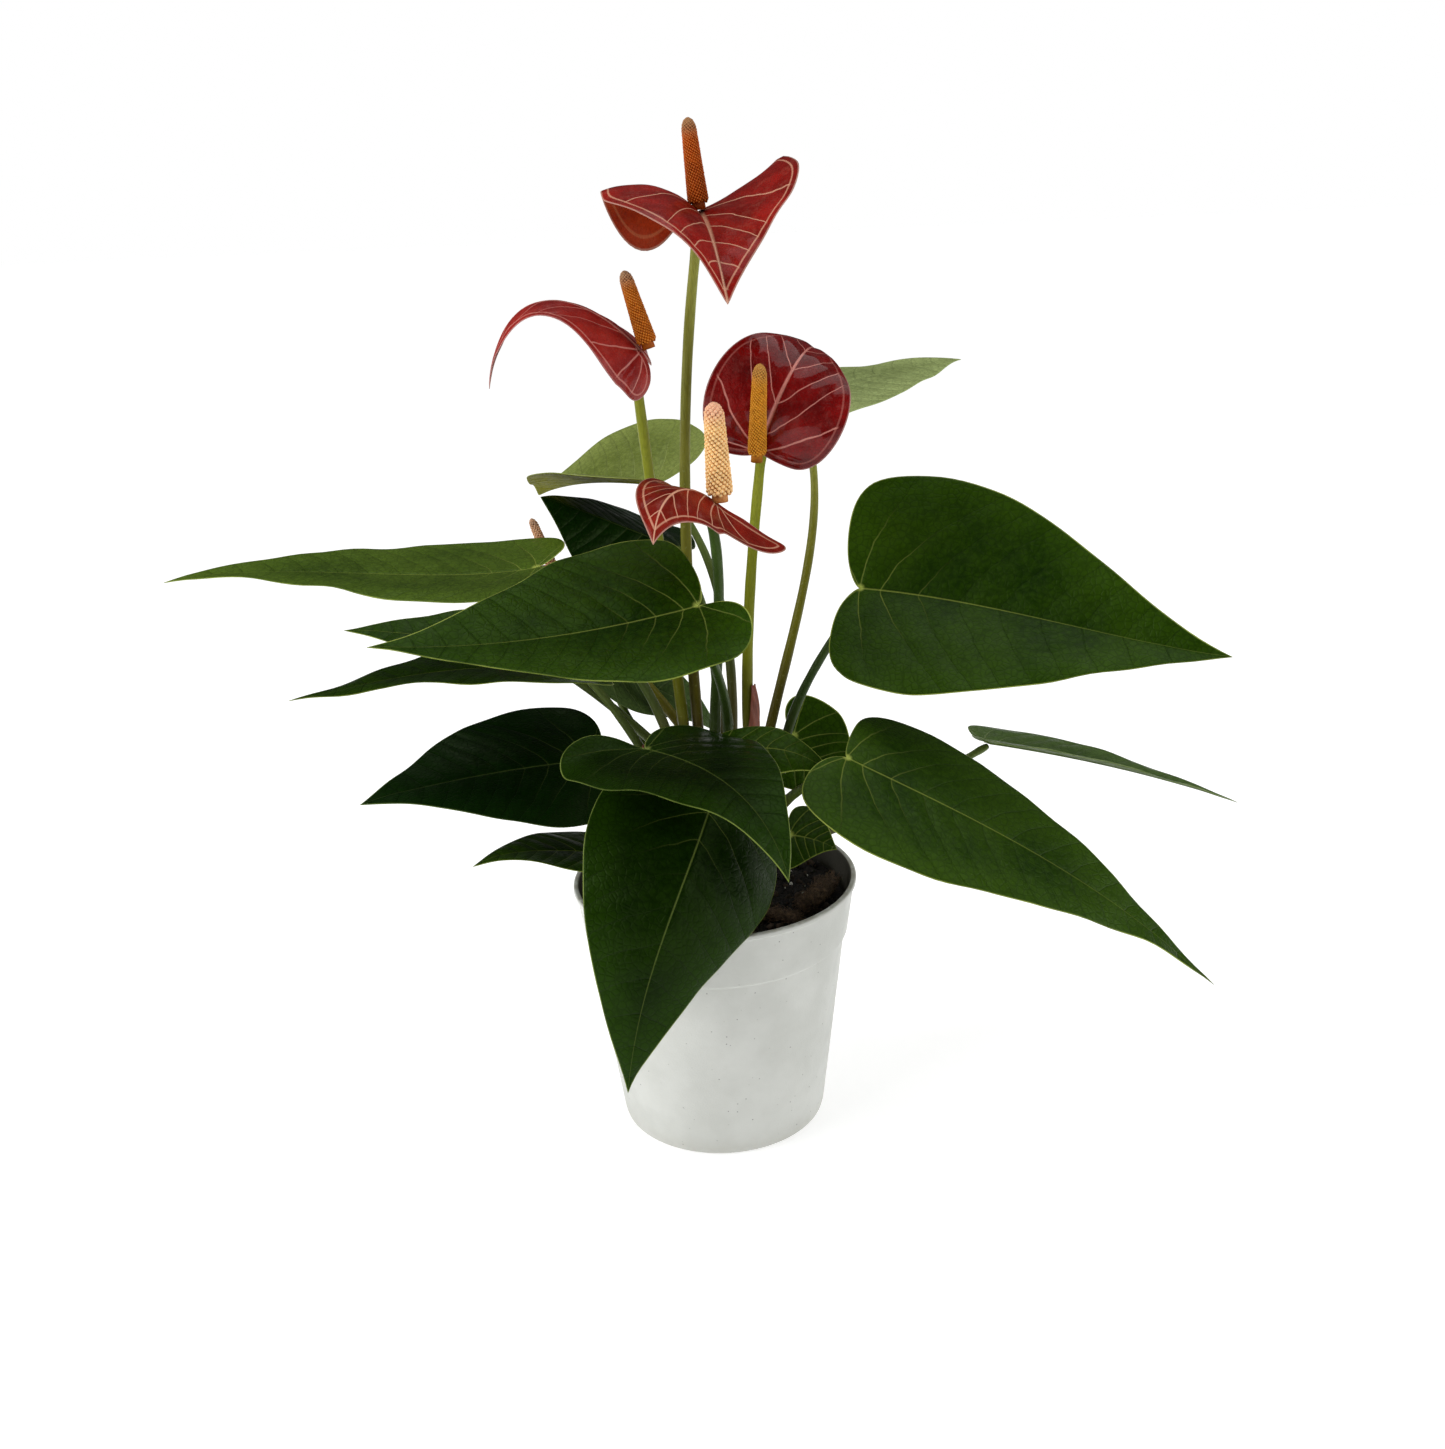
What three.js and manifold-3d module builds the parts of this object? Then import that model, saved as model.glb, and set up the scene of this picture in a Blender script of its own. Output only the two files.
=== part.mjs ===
// Potted anthurium: heart-shaped leaves and red spathes on thin stalks, in a plain round nursery pot.
// Millimetres, +Z up. The origin is the centre of the pot's base, and -Y is the plant's front.
// Every blade is a heart outline laid along a curved rib; every stalk is a tapered tube from a shoot.
import * as THREE from "three";
import { mergeVertices } from "three/addons/utils/BufferGeometryUtils.js";
import Module from "manifold-3d";

// ---------------------------------------------------------------- driving dimensions
const POT_HEIGHT = 110;
const RIM_RADIUS = 60;
const BASE_RADIUS = 44.5;
const POT_WALL = 1.2;
const STEP_DROP = 25; // height of the stacking step below the rim
const STEP_WIDTH = 1.4;
const LIP_WIDTH = 2.4;
const LIP_HEIGHT = 2.6;
const BASE_ROUND = 3.5;
const DRAIN_RADIUS = 4;
const DRAIN_CIRCLE = 30; // radius of the circle that the drain holes sit on
const DRAIN_COUNT = 6;

const HEADSPACE = 10; // empty height between the soil and the rim
const CROWN_RISE = 3; // how much higher the soil is in the middle
const SEAT_GAP = 0.3; // clearance left between touching pieces

const POT_SIDES = 64;
const SOIL_SIDES = 40;
const DRAIN_SIDES = 12;
const HUSK_SIDES = 7;
const HUSK_STEPS = 6;

const BLADE_THICKNESS = 0.6;
const BLADE_RAYS = 32; // steps round a blade's edge
const BLADE_RINGS = 3; // steps from the stalk's end to the edge
const STALK_SIDES = 6;
const STALK_STEPS = 9;
const SHOOT_SIDES = 10;
const SHOOT_STEPS = 5;
const SPADIX_SIDES = 9;
const SPADIX_STEPS = 8;
const PEDUNCLE_RADIUS = [2.4, 1.9]; // foot, top
const PETIOLE_RADIUS = [2.3, 1.5];
const SHOOT_FOOT_DEPTH = 26; // how far a shoot reaches into the soil

const SOIL_TOP = POT_HEIGHT - HEADSPACE;

// Every height below is counted from the soil's top, so that the plant rises and sinks with its soil.
// Shoots: the foot is where the axis would meet the soil top, the head is the top end.
const SHOOTS = {
  centre: { foot: [-6, 0], head: [-4, 0, 50], radius: [7, 5] },
  right: { foot: [14, 2], head: [25, 3, 60], radius: [6.5, 4.5] },
  back: { foot: [2, 27], head: [5, 32, 52], radius: [6.5, 4.5] },
};

// Leaves. rib: stalk end, two guide points and tip of the midrib. face: the way the upper side looks.
// fold and curl: [left, right] rise in degrees at the midrib, and the further rise out to the edge.
// back: how far the [left, right] lobe reaches behind the stalk end, as a share of the rib's length.
// from: shoot, compass angle and height of the stalk's foot. via: the stalk's two guide points.
const LEAVES = [
  {
    name: "leaf_01", width: 102, face: [0, -0.75, 0.65],
    fold: [18, 18], curl: [-10, -10], back: [0.05, 0.05],
    rib: [[65, 20, 127], [115, 6, 124], [160, -23, 112], [200, -40, 109]],
    from: ["right", 40, 52], via: [[34, 16, 77], [42, 20, 90]],
  },
  {
    name: "leaf_02", width: 78, face: [0.25, -0.3, 0.9], fold: [5, 0], curl: [-12, -18], back: [0.02, 0.06],
    tip: 0.08, rib: [[53, -45, 77], [90, -57, 60], [145, -70, 36], [187, -80, -8]],
    from: ["right", 315, 32], via: [[28, -14, 52], [42, -32, 62]],
  },
  {
    name: "leaf_03", width: 52, face: [0, 0.2, 1], fold: [12, 12], curl: [-5, -5], back: [0.06, 0.06],
    rib: [[125, 60, 43], [162, 55, 37], [200, 47, 29], [236, 40, 16]],
    from: ["right", 20, 20], via: [[46, 12, 16], [88, 44, 26]],
  },
  {
    name: "leaf_04", width: 78, face: [-0.05, -0.38, 0.93],
    fold: [10, 18], curl: [-14, -12], back: [0.12, 0.05],
    bend: 35, rib: [[-1, -60, 143], [-40, -73, 137], [-75, -94, 139], [-111, -100, 144]],
    from: ["centre", 335, 48], via: [[17, 2, 86], [-1, -32, 118]],
  },
  {
    name: "leaf_05", width: 74, face: [0, -0.05, 1], fold: [4, 8], curl: [-8, -6], back: [0.08, 0.08],
    rib: [[-65, 0, 146], [-106, -2, 140], [-162, -10, 156], [-205, -20, 151]],
    from: ["centre", 176, 46], via: [[-15, 1, 90], [-38, -2, 122]],
  },
  {
    name: "leaf_06", width: 42, face: [0, -0.45, 0.9], fold: [5, 5], curl: [-10, -10], back: [0.1, 0.1],
    rib: [[-78, 42, 102], [-102, 42, 106], [-130, 44, 110], [-156, 46, 112]],
    from: ["back", 190, 34], via: [[-26, 32, 65], [-58, 36, 92]],
  },
  {
    name: "leaf_07", width: 58, face: [0, 0.1, 1], fold: [0, 14], curl: [-8, -8], back: [0.04, 0.04],
    rib: [[-48, 10, 99], [-87, -5, 111], [-124, -20, 110], [-159, -35, 105]],
    from: ["centre", 192, 34], via: [[-20, 2, 52], [-34, 8, 80]],
  },
  {
    name: "leaf_08", width: 78, face: [-0.05, -0.35, 0.93],
    fold: [3, 6], curl: [-10, -10], back: [0.08, 0.12],
    rib: [[-52, 8, 61], [-84, -4, 63], [-110, -22, 65], [-137, -36, 63]],
    from: ["centre", 205, 22], via: [[-20, -4, 32], [-36, 4, 52]],
  },
  {
    name: "leaf_09", width: 44, face: [0, 0, 1], fold: [5, 5], curl: [-10, -10], back: [0.1, 0.1],
    rib: [[-45, -15, 29], [-62, -20, 32], [-79, -25, 38], [-96, -34, 34]],
    from: ["centre", 215, 8], via: [[-20, -8, 14], [-34, -12, 24]],
  },
  {
    name: "leaf_10", width: 76, face: [-0.1, -0.15, 1], fold: [-5, 16], curl: [-18, -20], back: [0.1, 0.2],
    wide: 0.08, bend: 45, rib: [[-24, -34, 80], [-2, -62, 84], [20, -98, 86], [27, -105, 54]],
    from: ["centre", 235, 40], via: [[-14, -12, 56], [-22, -22, 64]],
  },
  {
    name: "leaf_11", width: 86, face: [0, -0.8, 0.6], fold: [-28, 4], curl: [-30, -10], back: [0.06, 0.06],
    rib: [[1, -40, 60], [-12, -88, 40], [-30, -84, 6], [-36, -86, -41]],
    from: ["centre", 280, 20], via: [[-3, -16, 46], [0, -30, 58]],
  },
  {
    name: "leaf_12", width: 28, face: [0, -0.3, 1], fold: [6, -20], curl: [-12, -12], back: [0.12, 0.12],
    rib: [[6, -24, 73], [18, -25, 77], [38, -26, 77], [50, -28, 61]],
    from: ["right", 200, 40], via: [[10, -4, 50], [3, -14, 64]],
  },
  {
    name: "leaf_13", width: 42, face: [-0.2, -0.7, 0.7], fold: [5, 5], curl: [0, 0], back: [0.3, 0.3],
    rib: [[37, 36, 58], [44, 34, 51], [54, 28, 42], [66, 26, 32]],
    from: ["right", 70, 28], via: [[26, 26, 38], [32, 38, 48]],
  },
  {
    name: "leaf_14", width: 84, face: [0, 0, 1], fold: [16, 40], curl: [-4, -16], back: [0.15, 0.2],
    wide: 0.3, tip: 0.34, rib: [[-18, 55, 168], [-36, 66, 168], [-56, 84, 167], [-73, 95, 158]],
    from: ["back", 50, 50], via: [[14, 42, 95], [8, 50, 150]],
  },
  {
    name: "leaf_15", width: 84, face: [0, -0.8, 0.6], fold: [8, -50], curl: [-10, -10], back: [0.15, 0.15],
    tip: 0.32, rib: [[-9, 62, 138], [-32, 58, 148], [-49, 54, 158], [-67, 50, 165]],
    from: ["back", 90, 44], via: [[4, 50, 75], [6, 62, 114]],
  },
  {
    name: "leaf_16", width: 60, face: [0, -0.3, 0.95], fold: [-8, 6], curl: [-8, -8], back: [0.15, 0.15],
    tip: 0.28, rib: [[39, 60, 201], [63, 73, 205], [94, 90, 209], [119, 100, 210]],
    from: ["right", 105, 50], via: [[32, 26, 100], [64, 46, 162]],
  },
  {
    name: "leaf_17", width: 32, face: [0, -0.5, 0.8], fold: [0, 0], curl: [-6, -6], back: [0.1, 0.1],
    neck: 0.16, rib: [[32, -8, 30], [38, -10, 30], [45, -13, 29], [51, -16, 26]],
    from: ["right", 290, 14], via: [[24, -8, 18], [29, -8, 24]],
  },
  {
    name: "leaf_18", width: 38, face: [0, -0.5, 0.85], fold: [8, 8], curl: [-6, -6], back: [0.12, 0.12],
    rib: [[-42, 48, 89], [-27, 52, 78], [-6, 56, 71], [6, 60, 51]],
    from: ["back", 165, 26], via: [[-18, 38, 40], [-40, 42, 66]],
  },
];

// Flowers: a spathe is a blade like a leaf's. spadix: its length, lean (the way its tip looks), radii, and
// how far it sinks between the two halves of a spathe that falls away on both sides.
const FLOWERS = [
  {
    name: "flower_1", width: 79, face: [0, -0.3, 1], fold: [18, 52], curl: [12, -75], back: [0.36, 0.32],
    wide: 0.1, bend: -115, rib: [[5, 2, 276], [9, -15, 273], [11, -45, 260], [14, -50, 246]],
    spadix: { length: 29, lean: [-0.09, 0, 1], radius: [3.8, 2.4] },
    from: ["centre", 80, 45], via: [[-7, 10, 120], [-8, 12, 200]],
  },
  {
    name: "flower_2", width: 44, face: [0, -0.3, 1], fold: [-12, -10], curl: [-14, -20], back: [0.2, 0.12],
    wide: 0.08, bend: -60, twist: -45,
    rib: [[-18, -18, 229], [-35, -21, 250], [-66, -26, 263], [-73, -30, 219]],
    spadix: { length: 26, lean: [-0.28, 0, 1], radius: [3.6, 2.2] },
    from: ["centre", 125, 48], via: [[-11, 6, 100], [-18, -2, 170]],
  },
  {
    name: "flower_3", width: 53, face: [-0.1, -0.95, 0.3],
    fold: [5, 5], curl: [-14, -14], back: [0.08, 0.03],
    wide: 0.3, tip: 0.3, rib: [[24, -20, 191], [28, -27, 206], [42, -22, 234], [48, 10, 224]],
    spadix: { length: 33, lean: [0.06, -0.1, 1], radius: [3.4, 2.4] },
    from: ["right", 185, 56], via: [[15, 10, 100], [21, 0, 155]],
  },
  {
    name: "flower_4", width: 42, face: [0, -0.3, 1], fold: [-20, -30], curl: [20, 10], back: [0.6, 0.15],
    bend: 30, neck: 0.16, rib: [[7, -48, 178], [-3, -54, 188], [-13, -68, 188], [-15, -80, 170]],
    spadix: { length: 32, lean: [-0.03, -0.02, 1], radius: [4.6, 3.2], sink: 0.9 },
    from: ["centre", 35, 44], via: [[1, 8, 90], [12, -24, 145]],
  },
  {
    name: "flower_5", width: 26, face: [0, -0.1, 1], fold: [-5, -5], curl: [-10, -10], back: [0.1, 0.1],
    rib: [[-63, 46, 134], [-70, 48, 135], [-78, 50, 134], [-86, 52, 130]],
    spadix: { length: 22, lean: [-0.35, 0, 1], radius: [2.3, 1.6] },
    from: ["back", 150, 48], via: [[-20, 40, 78], [-48, 44, 110]],
  },
];

// Red papery sheaths that hug two of the stalks, and chunks of coconut husk on the soil.
// A husk's path is given from the pot's rim, as [compass angle, distance inwards from the rim].
const SHEATHS = [
  { name: "sheath_left", on: "leaf_07", span: [0.18, 0.5], radius: 3.2 },
  { name: "sheath_right", on: "flower_3", span: [0.06, 0.26], radius: 3.2 },
];
const HUSKS = [
  { name: "husk_long", path: [[-71, 24], [-54, 23], [-45, 12]], radius: 2.6, rise: 2.9 },
  { name: "husk_block", path: [[-36, 17], [-18, 15], [0, 10]], radius: 4, rise: 4.3 },
];

const wasm = await Module();
wasm.setup();

// ---------------------------------------------------------------- small helpers
const vec = (p) => new THREE.Vector3(...p);
const overSoil = ([x, y, height]) => new THREE.Vector3(x, y, SOIL_TOP + height);
const radians = THREE.MathUtils.degToRad;
const lerp = THREE.MathUtils.lerp;

// A closed indexed geometry with shared corners and no zero-area faces.
function closed(geometry) {
  geometry.deleteAttribute("normal");
  geometry.deleteAttribute("uv");
  const merged = mergeVertices(geometry, 1e-4);
  const source = merged.index.array;
  const kept = [];
  for (let i = 0; i < source.length; i += 3) {
    const [a, b, c] = source.slice(i, i + 3);
    if (a !== b && b !== c && a !== c) kept.push(a, b, c);
  }
  merged.setIndex(kept);
  return merged;
}

function toManifold(geometry) {
  const mesh = new wasm.Mesh({
    numProp: 3,
    vertProperties: new Float32Array(geometry.attributes.position.array),
    triVerts: new Uint32Array(geometry.index.array),
  });
  return new wasm.Manifold(mesh);
}

function fromManifold(solid) {
  const mesh = solid.getMesh();
  const geometry = new THREE.BufferGeometry();
  geometry.setAttribute("position", new THREE.BufferAttribute(mesh.vertProperties, 3));
  geometry.setIndex(new THREE.BufferAttribute(mesh.triVerts, 1));
  return geometry;
}

// A body of revolution about Z from [radius, height] pairs that start and end on the axis.
function turned(profile, sides) {
  const points = profile.map(([r, z]) => new THREE.Vector2(r, z));
  return closed(new THREE.LatheGeometry(points, sides).rotateX(Math.PI / 2));
}

// ---------------------------------------------------------------- blades
// Half of the heart outline, from the sinus round one lobe to the tip, as [along / length, across / half].
// A straight line from the stalk's end to any of its points stays inside it, so a fan of rays can fill it.
function heartHalf({ back, wide = 0.16, tip = 0.16, neck = 0.08 }, steps) {
  const LOBE = 0.5;
  const part = (a, b, c, d) =>
    new THREE.CubicBezierCurve(...[a, b, c, d].map(([x, y]) => new THREE.Vector2(x, y)));
  const parts = [
    part([0, 0], [-0.35 * back, 0.2 * neck], [-back, 0.1 + neck], [-back, LOBE]),
    part([-back, LOBE], [-back, 0.84], [wide - 0.16, 1], [wide, 1]),
    part([wide, 1], [wide + 0.27, 1], [0.7, tip * 1.9], [1, 0]),
  ];
  const quarter = Math.floor(steps / 4);
  const counts = [quarter, quarter, steps - 2 * quarter];
  return parts.flatMap((curve, k) => curve.getPoints(counts[k]).slice(1));
}

// Frames along the rib: place, forward and up at any distance from the stalk's end.
// twist turns the up direction towards the left side, in degrees from the stalk's end to the tip.
function ribFrames({ rib, face, twist = 0 }) {
  const STEPS = 60;
  const curve = new THREE.CubicBezierCurve3(...rib.map(overSoil));
  const length = curve.getLength();
  let up = vec(face);
  const frames = [];
  for (let i = 0; i <= STEPS; i += 1) {
    const at = curve.getPointAt(i / STEPS);
    const forward = curve.getTangentAt(i / STEPS);
    up = up.clone().addScaledVector(forward, -up.dot(forward)).normalize();
    const turned = up.clone().applyAxisAngle(forward, radians(-twist) * (i / STEPS));
    frames.push({ at, forward, up: turned });
  }
  const place = (distance) => {
    const t = THREE.MathUtils.clamp(distance / length, 0, 1) * STEPS;
    const i = Math.min(Math.floor(t), STEPS - 1);
    const mix = (key) => frames[i][key].clone().lerp(frames[i + 1][key], t - i);
    return { at: mix("at"), forward: mix("forward").normalize(), up: mix("up").normalize() };
  };
  return { length, place };
}

// The blade's surface point for a point of its flat outline: x along the rib, y across (left is positive).
function bladePoint(frames, spec, x, y) {
  const side = y >= 0 ? 0 : 1;
  const bend = radians(spec.bend ?? 0);
  let { at, forward, up } = frames.place(x);
  if (x < 0) {
    // behind the stalk's end the lobes follow an arc that turns by bend over the lobe's length
    const reach = Math.max(...spec.back) * frames.length;
    const angle = (bend * -x) / reach;
    const radius = bend ? reach / bend : 0;
    const along = bend ? -radius * Math.sin(angle) : x;
    const lift = bend ? radius * (1 - Math.cos(angle)) : 0;
    at = at.clone().addScaledVector(forward, along).addScaledVector(up, lift);
    const [level, risen] = [Math.cos(angle), Math.sin(angle)];
    const ahead = forward.clone().multiplyScalar(level).addScaledVector(up, -risen);
    up = up.clone().multiplyScalar(level).addScaledVector(forward, risen);
    forward = ahead;
  }
  const left = up.clone().cross(forward);
  const start = radians(spec.fold[side]);
  const turn = radians(spec.curl[side]) / (spec.width / 2) || 1e-9;
  const end = start + turn * Math.abs(y);
  const across = (Math.sin(end) - Math.sin(start)) / turn;
  const rise = (Math.cos(start) - Math.cos(end)) / turn;
  return at.addScaledVector(left, Math.sign(y) * across).addScaledVector(up, rise);
}

// A thin closed blade: a fan of rings round the stalk's end, given a thickness along the surface normals.
function bladeGeometry(spec) {
  const frames = ribFrames(spec);
  const half = spec.width / 2;
  const steps = BLADE_RAYS / 2;
  const [left, right] = spec.back.map((back) => heartHalf({ ...spec, back }, steps));
  const edge = [
    ...left.map((p) => [p.x * frames.length, p.y * half]),
    ...right.reverse().slice(1).map((p) => [p.x * frames.length, -p.y * half]),
  ];
  const positions = [bladePoint(frames, spec, 0, 0)];
  for (let ring = 1; ring <= BLADE_RINGS; ring += 1) {
    const k = ring / BLADE_RINGS;
    for (const [x, y] of edge) positions.push(bladePoint(frames, spec, x * k, y * k));
  }
  const n = edge.length;
  const faces = [];
  for (let j = 0; j < n - 1; j += 1) faces.push([0, 2 + j, 1 + j]);
  for (let ring = 1; ring < BLADE_RINGS; ring += 1) {
    const inner = 1 + (ring - 1) * n;
    for (let j = 0; j < n - 1; j += 1) {
      const [a, b, c, d] = [inner + j, inner + j + 1, inner + n + j, inner + n + j + 1];
      faces.push([a, d, c], [a, b, d]);
    }
  }
  const boundary = [0];
  for (let ring = 1; ring <= BLADE_RINGS; ring += 1) boundary.push(1 + (ring - 1) * n);
  for (let j = 1; j < n - 1; j += 1) boundary.push(1 + (BLADE_RINGS - 1) * n + j);
  for (let ring = BLADE_RINGS; ring >= 1; ring -= 1) boundary.push(ring * n);
  return thickened(positions, faces, boundary, BLADE_THICKNESS);
}

// Turns an open sheet into a closed body: upper and lower copies, joined along the boundary loop.
function thickened(positions, faces, boundary, thickness) {
  const normals = positions.map(() => new THREE.Vector3());
  for (const face of faces) {
    const [a, b, c] = face.map((i) => positions[i]);
    const normal = b.clone().sub(a).cross(c.clone().sub(a));
    for (const i of face) normals[i].add(normal);
  }
  const count = positions.length;
  for (const normal of normals) normal.normalize();
  const shifted = (side) => positions.map((p, i) => p.clone().addScaledVector(normals[i], side));
  const all = [...shifted(thickness / 2), ...shifted(-thickness / 2)];
  const index = [];
  for (const [a, b, c] of faces) index.push(a, b, c, count + a, count + c, count + b);
  boundary.forEach((a, i) => {
    const b = boundary[(i + 1) % boundary.length];
    index.push(a, b, count + b, a, count + b, count + a);
  });
  const geometry = new THREE.BufferGeometry().setFromPoints(all);
  geometry.setIndex(index);
  return geometry;
}

// ---------------------------------------------------------------- stalks and other round pieces
// A closed tube along a curve. radius(t) gives its radius, and its ends are flat.
function tube(curve, radius, sides, steps) {
  const { normals, binormals } = curve.computeFrenetFrames(steps, false);
  const points = [];
  for (let i = 0; i <= steps; i += 1) {
    const centre = curve.getPointAt(i / steps);
    for (let j = 0; j < sides; j += 1) {
      const angle = (j / sides) * 2 * Math.PI;
      const out = normals[i].clone().multiplyScalar(Math.cos(angle));
      out.addScaledVector(binormals[i], Math.sin(angle));
      points.push(centre.clone().addScaledVector(out, radius(i / steps)));
    }
  }
  const index = [];
  for (let i = 0; i < steps; i += 1) {
    for (let j = 0; j < sides; j += 1) {
      const [a, b] = [i * sides + j, i * sides + ((j + 1) % sides)];
      index.push(a, b, b + sides, a, b + sides, a + sides);
    }
  }
  for (let j = 1; j < sides - 1; j += 1) {
    const end = steps * sides;
    index.push(0, j + 1, j, end, end + j, end + j + 1);
  }
  const geometry = new THREE.BufferGeometry().setFromPoints(points);
  geometry.setIndex(index);
  return geometry;
}

// The shoot's axis as a function of the height over the soil.
function shootAxis({ foot, head }) {
  const ground = overSoil([...foot, 0]);
  const slope = overSoil(head).sub(ground);
  return (height) => ground.clone().addScaledVector(slope, height / head[2]);
}

function shootRadius({ head, radius }, height) {
  return lerp(radius[0], radius[1], THREE.MathUtils.clamp(height / head[2], 0, 1));
}

// Where a stalk starts: beside its shoot, a seat's gap clear of the bark.
function stalkFoot({ from: [shootName, compass, height], via }, radius) {
  const shoot = SHOOTS[shootName];
  const axis = shootAxis(shoot)(height);
  const outward = new THREE.Vector3(Math.cos(radians(compass)), Math.sin(radians(compass)), 0);
  const bark = axis.addScaledVector(outward, shootRadius(shoot, height) + SEAT_GAP);
  const leaving = overSoil(via[0]).sub(bark).normalize();
  const tilt = Math.sqrt(Math.max(0, 1 - leaving.dot(outward) ** 2));
  return bark.addScaledVector(outward, radius * tilt);
}

// Where a stalk ends: just under its blade, so that the flat end stays a seat's gap below the surface.
function stalkTop(spec, radius) {
  const INSET = 2; // how far in front of the notch the stalk ends
  const frames = ribFrames(spec);
  const { at, up } = frames.place(INSET);
  const arriving = at.clone().sub(overSoil(spec.via[1])).normalize();
  const tilt = Math.sqrt(Math.max(0, 1 - arriving.dot(up) ** 2));
  const droop = Math.max(0, -Math.sin(radians(Math.min(...spec.fold))));
  return at.addScaledVector(up, -(BLADE_THICKNESS / 2 + SEAT_GAP + radius * (tilt + droop)));
}

function stalkCurve(spec, [footRadius, topRadius]) {
  const guides = spec.via.map(overSoil);
  return new THREE.CubicBezierCurve3(stalkFoot(spec, footRadius), ...guides, stalkTop(spec, topRadius));
}

function stalkGeometry(spec, radii) {
  const taper = (t) => lerp(radii[0], radii[1], t);
  return tube(stalkCurve(spec, radii), taper, STALK_SIDES, STALK_STEPS);
}

// A spadix: a tapered finger with a round tip, standing on the upper side of its spathe.
function spadixGeometry(spec) {
  const { length, lean, radius, sink = 0 } = spec.spadix;
  const { at, up, forward } = ribFrames(spec).place(1);
  const direction = vec(lean).normalize();
  const tilt = Math.sqrt(Math.max(0, 1 - direction.dot(up) ** 2));
  const rise = 0.8 * Math.sin(radians(Math.max(...spec.fold, 0))) * radius[0];
  const foot = at.addScaledVector(up, BLADE_THICKNESS / 2 + SEAT_GAP + radius[0] * tilt + rise - sink);
  const curve = new THREE.LineCurve3(foot, foot.clone().addScaledVector(direction, length));
  const ROUND = 0.86; // the tip rounds off over the rest
  const radiusAt = (t) => {
    const taper = lerp(radius[0], radius[1], t);
    return t < ROUND ? taper : taper * Math.max(0.25, Math.sqrt(1 - ((t - ROUND) / (1 - ROUND)) ** 2));
  };
  return tube(curve, radiusAt, SPADIX_SIDES, SPADIX_STEPS);
}

// ---------------------------------------------------------------- pot, soil, shoots, husk
function potGeometry() {
  const stepZ = POT_HEIGHT - STEP_DROP;
  const stepRadius = lerp(BASE_RADIUS, RIM_RADIUS - LIP_WIDTH, stepZ / POT_HEIGHT);
  const lipZ = POT_HEIGHT - LIP_HEIGHT;
  const skirtTop = RIM_RADIUS - 1;
  const outside = [
    [0, 0],
    [BASE_RADIUS - BASE_ROUND, 0],
    [BASE_RADIUS - 1, 1],
    [BASE_RADIUS, BASE_ROUND],
    [stepRadius, stepZ],
    [stepRadius + STEP_WIDTH, stepZ + STEP_WIDTH],
    [skirtTop, lipZ],
    [RIM_RADIUS, lipZ + 0.6],
    [RIM_RADIUS, POT_HEIGHT - 0.5],
    [RIM_RADIUS - 0.6, POT_HEIGHT],
    [RIM_RADIUS - LIP_WIDTH + 0.6, POT_HEIGHT],
    [RIM_RADIUS - LIP_WIDTH, POT_HEIGHT - 0.6],
  ];
  const inside = [
    [stepRadius + STEP_WIDTH - POT_WALL, stepZ + STEP_WIDTH],
    [stepRadius - POT_WALL, stepZ - 1],
    [BASE_RADIUS - POT_WALL, BASE_ROUND],
    [BASE_RADIUS - POT_WALL - 2, POT_WALL],
    [0, POT_WALL],
  ];
  let pot = toManifold(turned([...outside, ...inside], POT_SIDES));
  for (let i = 0; i < DRAIN_COUNT; i += 1) {
    const angle = (i / DRAIN_COUNT) * 2 * Math.PI;
    const hole = new THREE.CylinderGeometry(DRAIN_RADIUS, DRAIN_RADIUS, 4 * POT_WALL, DRAIN_SIDES);
    hole.rotateX(Math.PI / 2);
    hole.translate(DRAIN_CIRCLE * Math.cos(angle), DRAIN_CIRCLE * Math.sin(angle), 0);
    pot = pot.subtract(toManifold(closed(hole)));
  }
  return fromManifold(pot);
}

function soilTopAt(x, y) {
  const share = Math.min(1, Math.hypot(x, y) / (RIM_RADIUS - LIP_WIDTH));
  return SOIL_TOP + CROWN_RISE * (1 - share * share);
}

function soilGeometry() {
  const stepZ = POT_HEIGHT - STEP_DROP;
  const clear = POT_WALL + SEAT_GAP;
  const stepRadius = lerp(BASE_RADIUS, RIM_RADIUS - LIP_WIDTH, stepZ / POT_HEIGHT);
  const edge = stepRadius + STEP_WIDTH - clear - 0.2;
  const top = [1, 0.75, 0.5, 0.25, 0].map((k) => [edge * k, soilTopAt(edge * k, 0)]);
  const profile = [
    [0, POT_WALL + SEAT_GAP],
    [BASE_RADIUS - clear - 2.4, POT_WALL + SEAT_GAP],
    [BASE_RADIUS - clear - 0.2, BASE_ROUND + 0.3],
    [stepRadius - clear - 0.2, stepZ - 1],
    [edge, stepZ + STEP_WIDTH],
    ...top,
  ];
  let soil = toManifold(turned(profile, SOIL_SIDES));
  for (const shoot of Object.values(SHOOTS)) soil = soil.subtract(toManifold(shootBody(shoot, SEAT_GAP)));
  return fromManifold(soil);
}

function shootBody(shoot, grow = 0) {
  const axis = shootAxis(shoot);
  const curve = new THREE.LineCurve3(axis(-SHOOT_FOOT_DEPTH - grow), axis(shoot.head[2] + grow));
  const heightAt = (t) => lerp(-SHOOT_FOOT_DEPTH, shoot.head[2], t);
  return tube(curve, (t) => shootRadius(shoot, heightAt(t)) + grow, SHOOT_SIDES, SHOOT_STEPS);
}

function huskGeometry({ path, radius, rise }) {
  const points = path.map(([compass, inset]) => {
    const x = (RIM_RADIUS - inset) * Math.cos(radians(compass));
    const y = (RIM_RADIUS - inset) * Math.sin(radians(compass));
    return new THREE.Vector3(x, y, soilTopAt(x, y) + rise + SEAT_GAP);
  });
  const curve = new THREE.CatmullRomCurve3(points);
  const swell = (t) => radius * (0.75 + 0.25 * Math.sin(Math.PI * t));
  return tube(curve, swell, HUSK_SIDES, HUSK_STEPS);
}

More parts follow.
